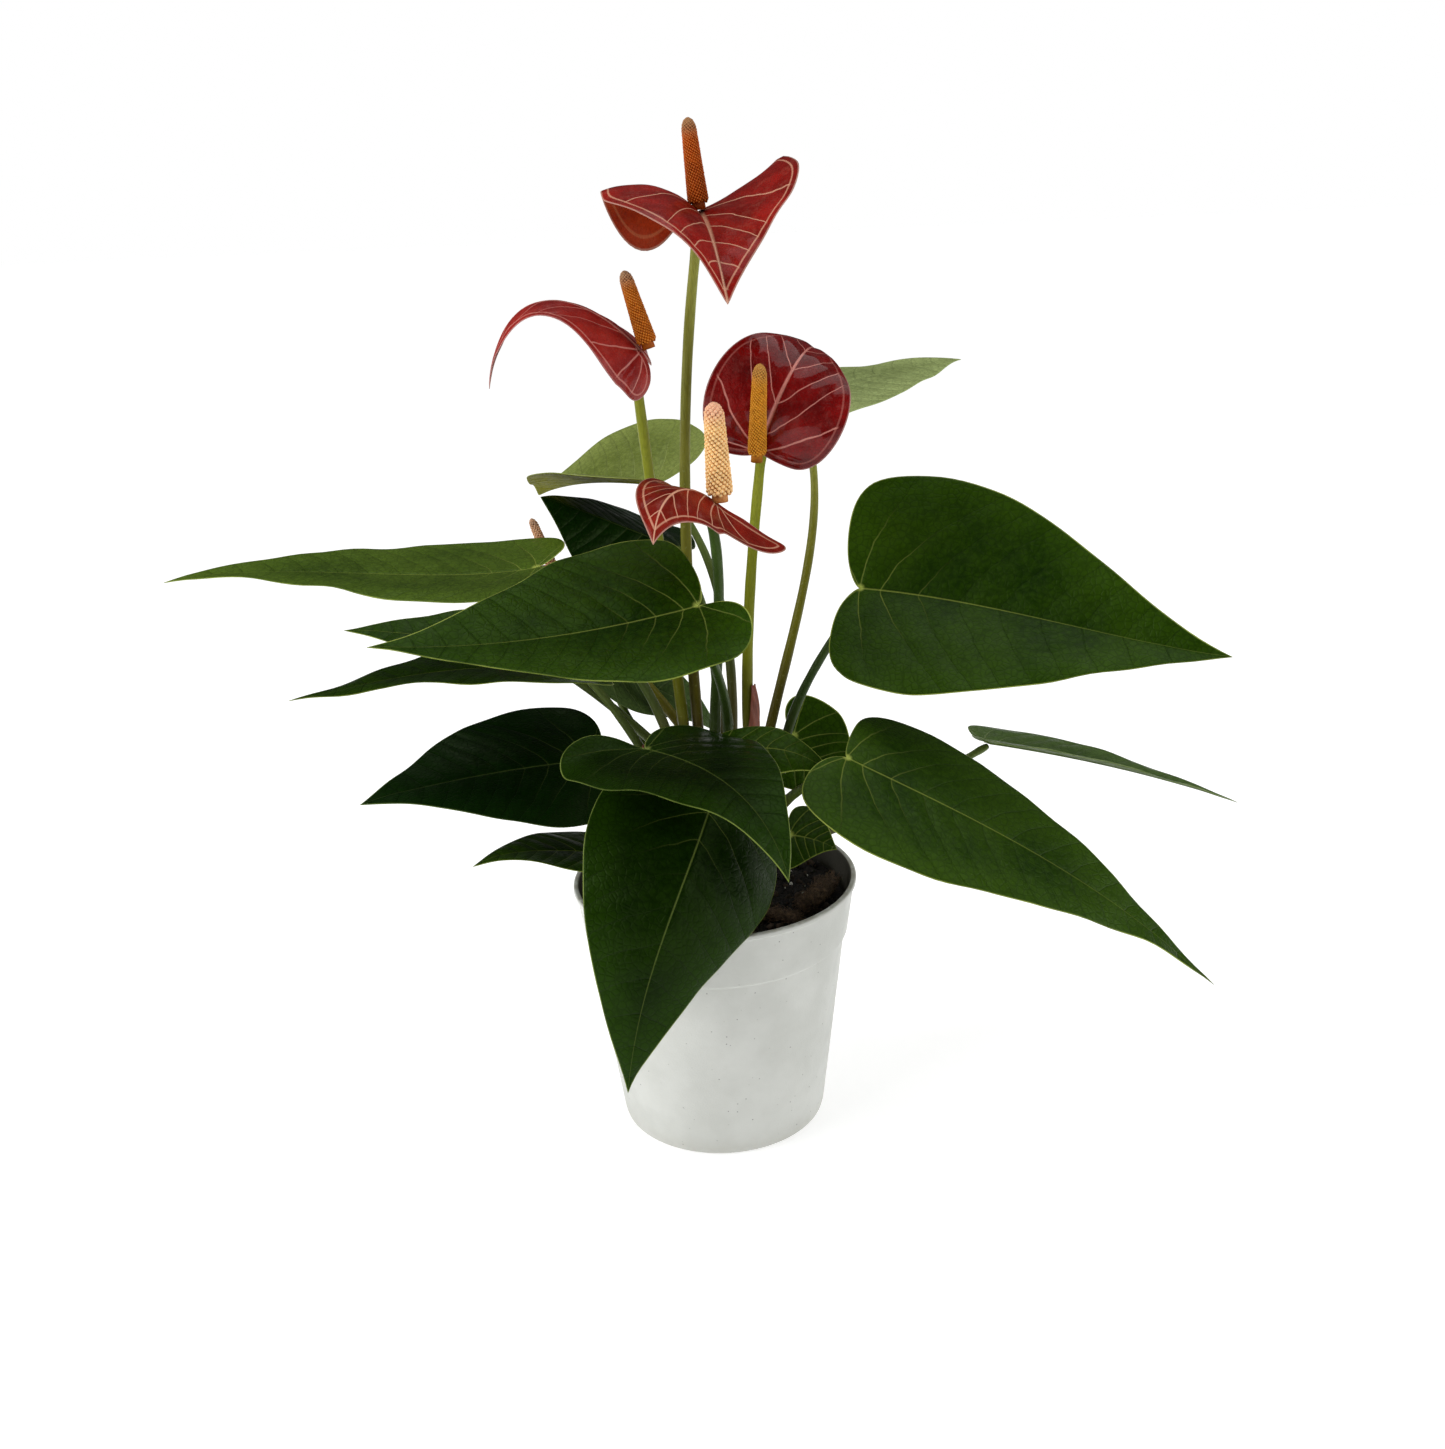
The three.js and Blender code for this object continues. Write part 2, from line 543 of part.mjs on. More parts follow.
// A sheath hugs one side of a stalk: a thin trough, open at the back.
function sheathGeometry({ on, span, radius }) {
  const spec = [...LEAVES, ...FLOWERS].find((stalk) => stalk.name === on);
  const curve = stalkCurve(spec, FLOWERS.includes(spec) ? PEDUNCLE_RADIUS : PETIOLE_RADIUS);
  const ROWS = 8;
  const COLUMNS = 6;
  const OPEN = radians(75); // half of the angle that the trough covers
  const positions = [];
  for (let i = 0; i <= ROWS; i += 1) {
    const t = lerp(span[0], span[1], i / ROWS);
    const centre = curve.getPointAt(t);
    const tangent = curve.getTangentAt(t);
    const side = new THREE.Vector3(1, -0.6, 0);
    side.addScaledVector(tangent, -side.dot(tangent)).normalize();
    const other = tangent.clone().cross(side);
    const swell = radius + 1.6 * Math.sin(Math.PI * (i / ROWS));
    const narrow = OPEN * (1 - 0.6 * (i / ROWS));
    for (let j = 0; j <= COLUMNS; j += 1) {
      const angle = lerp(-narrow, narrow, j / COLUMNS);
      const out = side.clone().multiplyScalar(Math.cos(angle)).addScaledVector(other, Math.sin(angle));
      positions.push(centre.clone().addScaledVector(out, swell));
    }
  }
  const width = COLUMNS + 1;
  const faces = [];
  for (let i = 0; i < ROWS; i += 1) {
    for (let j = 0; j < COLUMNS; j += 1) {
      const a = i * width + j;
      faces.push([a, a + 1, a + width + 1], [a, a + width + 1, a + width]);
    }
  }
  const boundary = [];
  for (let j = 0; j < COLUMNS; j += 1) boundary.push(j);
  for (let i = 0; i < ROWS; i += 1) boundary.push(i * width + COLUMNS);
  for (let j = COLUMNS; j > 0; j -= 1) boundary.push(ROWS * width + j);
  for (let i = ROWS; i > 0; i -= 1) boundary.push(i * width);
  return thickened(positions, faces, boundary.reverse(), BLADE_THICKNESS);
}

// ---------------------------------------------------------------- the plant
const material = (color, roughness) => new THREE.MeshStandardMaterial({ color, roughness, metalness: 0 });
const LOOKS = {
  pot: [0xe4e6e1, 0.45],
  soil: [0x1c1512, 0.95],
  shoot: [0x5a4326, 0.8],
  husk: [0x5b4630, 0.95],
  sheath: [0x7d2f22, 0.6],
  leaf: [0x1f3d16, 0.35],
  pale_leaf: [0x6f8a4c, 0.45],
  petiole: [0x5c6b22, 0.45],
  spathe: [0x7c1620, 0.3],
  spadix: [0xb9702c, 0.6],
  pale_spadix: [0xe0c190, 0.6],
};
const PALE_LEAVES = ["leaf_14", "leaf_16"];
const PALE_SPADICES = ["flower_4", "flower_5"];

const plant = new THREE.Group();
plant.name = "potted_anthurium";

function add(name, look, geometry) {
  const mesh = new THREE.Mesh(geometry, material(...LOOKS[look]));
  mesh.name = name;
  plant.add(mesh);
}

add("pot", "pot", potGeometry());
add("growing_medium", "soil", soilGeometry());
for (const [name, shoot] of Object.entries(SHOOTS)) add("shoot_" + name, "shoot", shootBody(shoot));
for (const leaf of LEAVES) {
  const finish = PALE_LEAVES.includes(leaf.name) ? "pale_leaf" : "leaf";
  add(leaf.name + "_blade", finish, bladeGeometry(leaf));
  add(leaf.name + "_petiole", "petiole", stalkGeometry(leaf, PETIOLE_RADIUS));
}
for (const flower of FLOWERS) {
  add(flower.name + "_spathe", "spathe", bladeGeometry(flower));
  const finish = PALE_SPADICES.includes(flower.name) ? "pale_spadix" : "spadix";
  add(flower.name + "_spadix", finish, spadixGeometry(flower));
  add(flower.name + "_peduncle", "petiole", stalkGeometry(flower, PEDUNCLE_RADIUS));
}
for (const sheath of SHEATHS) add(sheath.name, "sheath", sheathGeometry(sheath));
for (const husk of HUSKS) add(husk.name, "husk", huskGeometry(husk));

export default plant;
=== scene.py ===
# %% [markdown]
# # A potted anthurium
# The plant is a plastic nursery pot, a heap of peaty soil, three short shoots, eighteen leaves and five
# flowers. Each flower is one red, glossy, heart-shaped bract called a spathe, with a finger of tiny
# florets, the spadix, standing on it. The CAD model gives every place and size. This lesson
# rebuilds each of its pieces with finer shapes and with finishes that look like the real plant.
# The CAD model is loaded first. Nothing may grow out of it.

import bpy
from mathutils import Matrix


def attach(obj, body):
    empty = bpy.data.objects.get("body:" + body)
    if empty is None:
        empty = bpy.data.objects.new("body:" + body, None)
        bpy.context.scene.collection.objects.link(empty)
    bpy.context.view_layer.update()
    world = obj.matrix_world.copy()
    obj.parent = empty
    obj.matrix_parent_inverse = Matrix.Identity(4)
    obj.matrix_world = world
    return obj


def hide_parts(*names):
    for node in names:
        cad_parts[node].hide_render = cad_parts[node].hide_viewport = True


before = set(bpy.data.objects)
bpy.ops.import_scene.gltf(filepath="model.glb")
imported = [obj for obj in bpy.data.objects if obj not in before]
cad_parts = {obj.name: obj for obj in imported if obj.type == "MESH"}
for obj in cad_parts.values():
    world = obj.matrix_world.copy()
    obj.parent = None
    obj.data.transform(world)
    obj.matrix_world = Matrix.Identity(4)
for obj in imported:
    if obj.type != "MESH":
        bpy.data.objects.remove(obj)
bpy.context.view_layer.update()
print("nodes in the frame:", len(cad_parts))

# %% [markdown]
# ## Tools
# All tables are in millimetres, as the CAD model's are, and only finished vertices turn into metres.
# Surfaces are worked out with arrays, because a leaf has thousands of points that all follow one rule.

# %% Tools
import math
import bpy
import numpy as np
from mathutils import Matrix, Vector, noise

MM = 0.001
SOIL_TOP = 100.0       # height of the soil's top over the pot's foot
SEAT_GAP = 0.3         # clearance between pieces that touch
HALF_BLADE = 0.3       # half the thickness of a blade
POT_HEIGHT = 110
POT_FOOT = 44.5        # radius of the wall at its foot
POT_MOUTH = 57.6       # radius of the wall's line at the rim
POT_WALL = 1.2
SOIL_GAP = 0.5         # clearance between the soil and the wall
STEP_HEIGHT, STEP_LEDGE = 85, 1.4
STEP_RADIUS = POT_FOOT + (POT_MOUTH - POT_FOOT) * STEP_HEIGHT / POT_HEIGHT


def unit(v):
    """The vectors of an array, each made one long."""
    v = np.asarray(v, float)
    return v / np.maximum(np.linalg.norm(v, axis=-1, keepdims=True), 1e-12)


def over_soil(points):
    """Points whose height is counted from the soil's top, as points over the pot's foot."""
    return np.asarray(points, float) + np.array([0.0, 0.0, SOIL_TOP])


def new_object(name, mesh):
    """A smooth object that shows a mesh."""
    mesh.polygons.foreach_set("use_smooth", np.ones(len(mesh.polygons), dtype=bool))
    made = bpy.data.objects.new(name, mesh)
    bpy.context.scene.collection.objects.link(made)
    return made


def new_piece(name, points, faces, finishes, face_finish=None):
    """A smooth mesh object from points in millimetres, with its finishes."""
    mesh = bpy.data.meshes.new(name)
    mesh.from_pydata((np.asarray(points) * MM).tolist(), [], [list(map(int, f)) for f in faces])
    for finish in finishes:
        mesh.materials.append(finish)
    if face_finish is not None:
        mesh.polygons.foreach_set("material_index", np.asarray(face_finish, dtype=np.int32))
    mesh.update()
    return new_object(name, mesh)


def adopt(piece, finish_slot, *nodes):
    """The piece stands for these CAD nodes and rides with the plant. Its finish slot is not used."""
    if nodes:
        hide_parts(*nodes)
    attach(piece, "root")
    return piece


def set_value(mesh, name, values):
    """Stores one number for each point, which a finish reads by name."""
    mesh.attributes.new(name, "FLOAT", "POINT").data.foreach_set("value", np.asarray(values, np.float32))


def set_map(mesh, name, pairs):
    """Stores a pair of numbers for each point as a map on the surface."""
    corner = np.empty(len(mesh.loops), dtype=np.int32)
    mesh.loops.foreach_get("vertex_index", corner)
    layer = mesh.uv_layers.new(name=name)
    layer.data.foreach_set("uv", np.asarray(pairs, np.float32)[corner].ravel())


print("tools ready")

# %% [markdown]
# ## Camera and light
# The camera stands a little above the flowers and looks 19 degrees down. The light is a studio's: a large
# soft box on the left, a weaker one on the right and a wide light overhead. The room itself is white to the
# eye, gives a soft fill, and stays dim in mirrors, so dark glossy leaves keep their own colour.

# %% Camera
def aim_camera(place, pitch, roll, focal_share):
    """A camera that looks along +Y, tilted down by pitch and turned by roll, in degrees."""
    tilt, turn = math.radians(pitch), math.radians(roll)
    ahead = Vector((0, math.cos(tilt), -math.sin(tilt)))
    level = Vector((0, math.sin(tilt), math.cos(tilt)))
    right = Vector((1, 0, 0)) * math.cos(turn) + level * math.sin(turn)
    above = level * math.cos(turn) - Vector((1, 0, 0)) * math.sin(turn)
    data = bpy.data.cameras.new("camera")
    data.sensor_width = 36
    data.lens = 36 * focal_share
    data.clip_start, data.clip_end = 0.01, 50
    camera = bpy.data.objects.new("camera", data)
    bpy.context.scene.collection.objects.link(camera)
    turned = Matrix((right, above, -ahead)).transposed().to_4x4()
    camera.matrix_world = Matrix.Translation(Vector(place) * MM) @ turned
    bpy.context.scene.camera = camera


aim_camera((6, -575, 375), pitch=19, roll=-2.4, focal_share=1480 / 1449)
print("camera at", tuple(round(v, 3) for v in bpy.context.scene.camera.location))


# %% Light
def soft_box(name, place, target, size, power):
    """A square lamp that faces the target."""
    data = bpy.data.lights.new(name, "AREA")
    data.shape, data.size, data.energy = "SQUARE", size, power
    lamp = bpy.data.objects.new(name, data)
    facing = (Vector(target) - Vector(place)).to_track_quat("-Z", "Y")
    lamp.matrix_world = Matrix.Translation(place) @ facing.to_matrix().to_4x4()
    bpy.context.scene.collection.objects.link(lamp)


soft_box("left box", (-1.3, -0.5, 0.8), (0, 0, 0.2), 1.3, 20)
soft_box("right box", (1.35, -0.3, 0.65), (0, 0, 0.2), 1.1, 9)

above = bpy.data.lights.new("overhead light", "SUN")
above.energy, above.angle = 1.25, math.radians(60)
overhead = bpy.data.objects.new("overhead light", above)
overhead.rotation_euler = (math.radians(-8), math.radians(6), 0)
bpy.context.scene.collection.objects.link(overhead)

room = bpy.data.worlds.new("studio")
bpy.context.scene.world = room
room.use_nodes = True
room_tree = room.node_tree
room_light = room_tree.nodes["Background"]
room_light.inputs["Color"].default_value = (1, 1, 1, 1)
seen = room_tree.nodes.new("ShaderNodeLightPath")
fill = room_tree.nodes.new("ShaderNodeMapRange")
fill.inputs["To Min"].default_value = 0.05
fill.inputs["To Max"].default_value = 0.34
level = room_tree.nodes.new("ShaderNodeMapRange")
level.inputs["To Max"].default_value = 1.0
room_tree.links.new(seen.outputs["Is Diffuse Ray"], fill.inputs["Value"])
room_tree.links.new(fill.outputs["Result"], level.inputs["To Min"])
room_tree.links.new(seen.outputs["Is Camera Ray"], level.inputs["Value"])
room_tree.links.new(level.outputs["Result"], room_light.inputs["Strength"])
bpy.context.scene.view_settings.view_transform = "Standard"

# %% [markdown]
# ## Finishes
# A finish is a graph of nodes. The small class below adds a node and joins its sockets in one line, so
# each recipe reads like a list of steps. The same class builds shader graphs and geometry graphs.

# %% A node writer
class Graph:
    """Adds nodes to a tree. A socket is given a plain value or another node's output."""

    def __init__(self, tree):
        self.tree = tree

    def node(self, kind, options=None, inputs=None):
        made = self.tree.nodes.new(kind)
        for key, value in (options or {}).items():
            setattr(made, key, value)
        for key, value in (inputs or {}).items():
            if isinstance(value, bpy.types.NodeSocket):
                self.tree.links.new(value, made.inputs[key])
            else:
                made.inputs[key].default_value = value
        return made

    def math(self, operation, a, b=0.0):
        return self.node("ShaderNodeMath", {"operation": operation}, {0: a, 1: b}).outputs[0]

    def mix(self, share, a, b):
        made = self.node("ShaderNodeMix", {"data_type": "RGBA"}, {0: share, 6: a, 7: b})
        return made.outputs[2]

    def tint(self, colour, share, amount, tone):
        """The colour, moved towards a tone by a share of an amount."""
        return self.mix(self.math("MULTIPLY", share, amount), colour, shade(tone))

    def step(self, value, low, high, start=0.0, end=1.0):
        options = {"interpolation_type": "SMOOTHSTEP"}
        sockets = {"Value": value, "From Min": low, "From Max": high, "To Min": start, "To Max": end}
        return self.node("ShaderNodeMapRange", options, sockets).outputs["Result"]

    def line(self, distance, width):
        """One on a line and zero away from it, with a soft edge."""
        return self.step(distance, self.math("MULTIPLY", width, 0.35), width, 1.0, 0.0)

    def noise(self, vector, scale, detail=2.0, rough=0.5):
        sockets = {"Vector": vector, "Scale": scale, "Detail": detail, "Roughness": rough}
        return self.node("ShaderNodeTexNoise", None, sockets).outputs[0]

    def value(self, name):
        """A number that the surface carries under a name."""
        return self.node("ShaderNodeAttribute", {"attribute_name": name}).outputs["Fac"]

    def place(self):
        return self.node("ShaderNodeTexCoord").outputs["Object"]

    def bump(self, height, strength, distance):
        """The normal of a relief: a height, how strongly it shows and how tall it is in metres."""
        sockets = {"Height": height, "Strength": strength, "Distance": distance}
        return self.node("ShaderNodeBump", None, sockets).outputs[0]


def shade(colour):
    """A colour of three linear numbers as a node wants it."""
    return (*colour, 1.0)


def new_finish(name):
    """An empty material: its graph and its main shader."""
    made = bpy.data.materials.new(name)
    made.use_nodes = True
    graph = Graph(made.node_tree)
    return made, graph, made.node_tree.nodes["Principled BSDF"]


def wire(shader, colour, rough, relief):
    """Gives the main shader its colour, its roughness, which may be a plain number, and its relief."""
    links = shader.id_data.links
    links.new(colour, shader.inputs["Base Color"])
    links.new(relief, shader.inputs["Normal"])
    if isinstance(rough, bpy.types.NodeSocket):
        links.new(rough, shader.inputs["Roughness"])
    else:
        shader.inputs["Roughness"].default_value = rough


def new_group(name, kind, inputs, outputs):
    """An empty node group with named sockets: the tree, its graph and what comes in and goes out."""
    tree = bpy.data.node_groups.new(name, kind)
    for label, (socket, value) in inputs.items():
        made = tree.interface.new_socket(name=label, in_out="INPUT", socket_type=socket)
        if value is not None:
            made.default_value = value
    for label, socket in outputs.items():
        tree.interface.new_socket(name=label, in_out="OUTPUT", socket_type=socket)
    graph = Graph(tree)
    return tree, graph, graph.node("NodeGroupInput").outputs, graph.node("NodeGroupOutput").inputs


FLOAT, COUNT = "NodeSocketFloat", "NodeSocketInt"
print("node writer ready")

# %% [markdown]
# The veins of a blade are drawn by one shared group. Each blade carries its own coordinates: how far a
# point is along and across the flat blade, which side vein it is near, and how far it is from the margin.
# The group turns them into masks for the midrib, side veins, margin line and the fine net between them,
# and into one height, so that colour and relief always agree.

# %% Group: veins of a blade
def blade_veins_group():
    inputs = {
        "Rib Width": (FLOAT, 0.6), "Vein Width": (FLOAT, 0.35), "Edge Width": (FLOAT, 0.4),
        "Loop Inset": (FLOAT, 2.6), "Net Size": (FLOAT, 2.4), "Wobble": (FLOAT, 0.2),
    }
    masks = ("Rib", "Veins", "Edge", "Loop", "Net", "Height", "Tipward", "Margin", "Near")
    outputs = {label: FLOAT for label in masks}
    tree, g, given, out = new_group("Blade Veins", "ShaderNodeTree", inputs, outputs)
    flat = g.node("ShaderNodeUVMap", {"uv_map": "flat"}).outputs[0]
    veins = g.node("ShaderNodeUVMap", {"uv_map": "veins"}).outputs[0]
    margin, tipward = g.value("margin"), g.value("tipward")
    across = g.node("ShaderNodeSeparateXYZ", None, {0: flat}).outputs[1]
    split = g.node("ShaderNodeSeparateXYZ", None, {0: veins}).outputs
    # the number of the nearest side vein, bent a little so that no two veins are alike
    bent = g.math("SUBTRACT", g.noise(flat, 7.0, 2.0), 0.5)
    phase = g.math("ADD", split[0], g.math("MULTIPLY", bent, g.math("MULTIPLY", given["Wobble"], 4.0)))
    off = g.math("ABSOLUTE", g.math("SUBTRACT", g.math("FRACT", phase), 0.5))
    away = g.math("MULTIPLY", g.math("SUBTRACT", 0.5, off), split[1])
    side = g.line(away, given["Vein Width"])
    rib_off = g.math("ABSOLUTE", g.math("MULTIPLY", across, 100.0))
    rib_width = g.math("MULTIPLY", given["Rib Width"], g.step(tipward, -0.1, 1.05, 1.25, 0.45))
    rib = g.math("MULTIPLY", g.line(rib_off, rib_width), g.step(tipward, -0.01, 0.01))
    near = g.node("ShaderNodeVectorMath", {"operation": "LENGTH"}, {0: flat}).outputs["Value"]
    near = g.math("MULTIPLY", near, 100.0)
    edge = g.line(margin, given["Edge Width"])
    loop = g.line(g.math("ABSOLUTE", g.math("SUBTRACT", margin, given["Loop Inset"])), given["Vein Width"])
    cells = g.node("ShaderNodeTexVoronoi", {"feature": "DISTANCE_TO_EDGE"},
                   {"Vector": flat, "Scale": g.math("DIVIDE", 100.0, given["Net Size"])}).outputs["Distance"]
    net = g.step(cells, 0.0, 0.16, 1.0, 0.0)
    swell = g.math("MULTIPLY", off, -2.0)
    swell = g.math("MULTIPLY", g.math("MULTIPLY", swell, swell), -0.9)
    height = g.math("SUBTRACT", swell, g.math("MULTIPLY", rib, 0.9))
    height = g.math("SUBTRACT", height, g.math("MULTIPLY", side, 0.35))
    height = g.math("SUBTRACT", height, g.math("MULTIPLY", net, 0.22))
    height = g.math("ADD", height, g.math("MULTIPLY", g.noise(flat, 60.0, 3.0), 0.35))
    for label, socket in zip(masks, (rib, side, edge, loop, net, height, tipward, margin, near)):
        tree.links.new(socket, out[label])
    return tree


BLADE_VEINS = blade_veins_group()
print("group", BLADE_VEINS.name, "has", len(BLADE_VEINS.interface.items_tree), "sockets")

# %% [markdown]
# A leaf is satin on top: very dark green with lighter patches, a wide band of painted light that lightens
# the green along the margin, a pale midrib that fades towards the tip, and a hair-thin pale edge. Its
# underside is duller and lighter. The two sides are two finishes on one mesh.

# %% Finish: leaves
def leaf_finish(name, deep, patch, vein, gloss=0.33, rib=0.4, veins=0.3, relief=0.5, shine=0.11,
                rim=0.35):
    """The side veins are pale where they leave the stalk, and then sink into the dark."""
    made, g, shader = new_finish(name)
    lines = g.node("ShaderNodeGroup", {"node_tree": BLADE_VEINS}, {"Rib Width": 0.45,
                   "Vein Width": 0.35, "Edge Width": 0.4, "Net Size": 2.6, "Wobble": 0.06}).outputs
    place = g.place()
    clouds = g.step(g.noise(place, 34.0, 2.0, 0.5), 0.22, 0.82)
    fine = g.step(g.noise(place, 420.0, 2.0), 0.3, 0.75)
    colour = g.mix(clouds, shade(deep), shade(patch))
    colour = g.tint(colour, fine, 0.35, [c * 1.5 for c in patch])
    # painted light: a wide band along the margin is lightened, as if light caught the edges; rim sets how
    # much
    colour = g.mix(g.step(lines["Margin"], 2.0, 18.0, rim, 0.0), colour, shade([c * 1.7 for c in patch]))
    sunk = [c * 0.55 for c in deep]
    colour = g.tint(colour, lines["Net"], 0.3, sunk)
    colour = g.tint(colour, lines["Veins"], 0.3, sunk)
    pale = g.math("MULTIPLY", g.step(lines["Near"], 3.0, 42.0, veins, 0.0), lines["Veins"])
    colour = g.mix(pale, colour, shade(vein))
    fading = g.step(lines["Tipward"], 0.0, 0.9, rib, rib * 0.3)
    colour = g.tint(colour, lines["Rib"], fading, vein)
    colour = g.mix(g.step(lines["Near"], 0.6, 2.6, 0.85, 0.0), colour, shade(vein))
    edge_share = g.math("MULTIPLY", lines["Edge"], g.step(g.noise(place, 40.0), 0.35, 0.65, 0.25, 0.8))
    colour = g.mix(edge_share, colour, shade(vein))
    rough = g.step(g.noise(place, 160.0, 3.0), 0.3, 0.7, gloss - 0.05, gloss + 0.1)
    wire(shader, colour, rough, g.bump(lines["Height"], relief, 0.0007))
    shader.inputs["Specular IOR Level"].default_value = shine
    shader.inputs["Specular Tint"].default_value = (0.65, 1.0, 0.35, 1.0)
    return made


YELLOW_GREEN = (0.34, 0.40, 0.08)
LEAF_TOPS = {
    "dark": leaf_finish("leaf, dark", (0.003, 0.014, 0.0003), (0.017, 0.041, 0.0013), YELLOW_GREEN),
    # painted shade: a nearly black copy of the leaf finish for leaves that hang in shade under the others,
    # with a strong band of painted light along their margins
    "dusk": leaf_finish("leaf, dusk", (0.0006, 0.005, 0.0002), (0.006, 0.018, 0.0005), (0.22, 0.28, 0.06),
                        rim=0.85),
    # painted sheen: a lighter copy of the leaf finish whose colour carries the sheen of an up-facing leaf
    "light": leaf_finish("leaf, light", (0.024, 0.048, 0.003), (0.054, 0.092, 0.008), YELLOW_GREEN),
    # painted shade: a near-black copy of the leaf finish, as dark as a leaf in shade looks
    "deep": leaf_finish("leaf, deep", (0.001, 0.007, 0.0005), (0.003, 0.014, 0.001), (0.12, 0.17, 0.04)),
    "fresh": leaf_finish("leaf, fresh", (0.006, 0.021, 0.0006), (0.021, 0.047, 0.0022), YELLOW_GREEN),
    "grey": leaf_finish("leaf, greyish", (0.026, 0.052, 0.011), (0.055, 0.090, 0.024), (0.20, 0.26, 0.10),
                        veins=0.5),
    "pale": leaf_finish("leaf, pale", (0.095, 0.125, 0.022), (0.150, 0.184, 0.046), (0.36, 0.42, 0.12),
                        veins=0.4),
    "young": leaf_finish("leaf, young", (0.150, 0.190, 0.060), (0.220, 0.270, 0.100), (0.34, 0.42, 0.16),
                         veins=0.5, rib=0.6),
}
LEAF_UNDER = leaf_finish("leaf underside", (0.022, 0.044, 0.005), (0.046, 0.074, 0.010), (0.16, 0.20, 0.05),
                         gloss=0.5, veins=0.5, shine=0.06)
PALE_UNDER = leaf_finish("leaf underside, olive", (0.100, 0.108, 0.005), (0.150, 0.150, 0.011),
                         (0.28, 0.30, 0.06), gloss=0.5, veins=0.5, shine=0.02)
print("leaf finishes:", sorted(LEAF_TOPS))

# %% [markdown]
# A spathe is waxy and shines like lacquer, so it gets a clear coat. Its veins are paler than the red
# between them: the midrib, arching side veins, and one line that collects them just inside the margin.

# %% Finish: spathes
def spathe_finish(name, deep, bright, vein, rib_width, veins=0.5, loop=0.6, edge=0.6, coat=0.3, gloss=0.3,
                  relief=0.5, blisters=0.0, net=0.25, width=0.5):
    made, g, shader = new_finish(name)
    lines = g.node("ShaderNodeGroup", {"node_tree": BLADE_VEINS}, {"Rib Width": rib_width,
                   "Vein Width": width, "Edge Width": 0.5, "Net Size": 1.5, "Wobble": 0.08}).outputs
    place = g.place()
    clouds = g.step(g.noise(place, 70.0, 4.0, 0.6), 0.3, 0.7)
    colour = g.mix(clouds, shade(deep), shade(bright))
    colour = g.tint(colour, lines["Net"], net, [c * 0.6 for c in deep])
    bloom = g.math("MULTIPLY", g.step(g.noise(place, 260.0, 4.0, 0.7), 0.48, 0.72), 0.25)
    colour = g.mix(bloom, colour, shade([0.5 * a + 0.25 * b for a, b in zip(bright, vein)]))
    inside = g.step(lines["Margin"], 1.5, 3.0)
    side = g.math("MULTIPLY", g.math("MULTIPLY", lines["Veins"], inside), veins)
    colour = g.mix(side, colour, shade(vein))
    colour = g.tint(colour, lines["Loop"], loop, vein)
    colour = g.tint(colour, lines["Rib"], 0.9, vein)
    colour = g.tint(colour, lines["Edge"], edge, [0.6 * c + 0.12 for c in vein])
    fine = g.noise(place, 900.0, 2.0)
    height = g.math("ADD", lines["Height"], g.math("MULTIPLY", fine, 0.08))
    if blisters:
        pits = g.node("ShaderNodeTexVoronoi", {"feature": "SMOOTH_F1"}, {"Vector": place, "Scale": 330.0})
        height = g.math("ADD", height, g.math("MULTIPLY", pits.outputs["Distance"], -blisters))
    rough = g.step(g.noise(place, 240.0, 3.0), 0.3, 0.7, gloss - 0.06, gloss + 0.12)
    wire(shader, colour, rough, g.bump(height, relief, 0.0006))
    shader.inputs["Specular IOR Level"].default_value = 0.12
    shader.inputs["Coat Weight"].default_value = coat
    shader.inputs["Coat Roughness"].default_value = 0.08
    shader.inputs["Specular Tint"].default_value = (1.0, 0.45, 0.4, 1.0)
    return made


SALMON = (0.66, 0.34, 0.22)
PINK = (0.58, 0.22, 0.18)
SPATHE_TOPS = {
    "flower_1": spathe_finish("spathe, red", (0.150, 0.003, 0.001), (0.310, 0.009, 0.005), SALMON, 1.5,
                              veins=0.75, coat=0.18, gloss=0.36),
    "flower_2": spathe_finish("spathe, rose", (0.190, 0.006, 0.005), (0.330, 0.022, 0.016), PINK, 0.9,
                              veins=0.7, loop=0.6, coat=0.2, gloss=0.36),
    "flower_3": spathe_finish("spathe, burgundy", (0.085, 0.001, 0.001), (0.200, 0.002, 0.002), PINK, 1.0,
                              veins=0.8, loop=0.25, coat=0.42, gloss=0.3, relief=0.7, blisters=1.1),
    "flower_4": spathe_finish("spathe, brick", (0.120, 0.004, 0.001), (0.240, 0.012, 0.005), SALMON, 0.7,
                              veins=0.75, loop=0.6, coat=0.18, gloss=0.36),
    "flower_5": spathe_finish("spathe, small", (0.150, 0.010, 0.006), (0.230, 0.026, 0.014), PINK, 0.5,
                              veins=0.4, loop=0.3),
}
SPATHE_UNDER = spathe_finish("spathe underside", (0.170, 0.010, 0.002), (0.280, 0.026, 0.004),
                             (0.42, 0.16, 0.07), 1.2, veins=0.25, loop=0.3, coat=0.05, gloss=0.46,
                             relief=0.3, net=0.15)
print("spathe finishes:", sorted(SPATHE_TOPS))

# %% [markdown]
# ## Blades
# Leaves and spathes share one rule. Half of the heart's outline is three curves. The flat heart is laid
# along a curved rib, and each side folds up or down from it and curls towards its edge. A fan of fine
# rings round the stalk's end fills it, and the sheet then gets a thickness that thins out at the margin.

# %% The rule of a blade
def bezier(points, t):
    """Points of a cubic curve at the shares t."""
    a, b, c, d = [np.asarray(p, float) for p in points]
    t = np.asarray(t, float)[:, None]
    s = 1 - t
    return s**3 * a + 3 * s * s * t * b + 3 * s * t * t * c + t**3 * d


def bezier_slope(points, t):
    a, b, c, d = [np.asarray(p, float) for p in points]
    t = np.asarray(t, float)[:, None]
    s = 1 - t
    return 3 * s * s * (b - a) + 6 * s * t * (c - b) + 3 * t * t * (d - c)


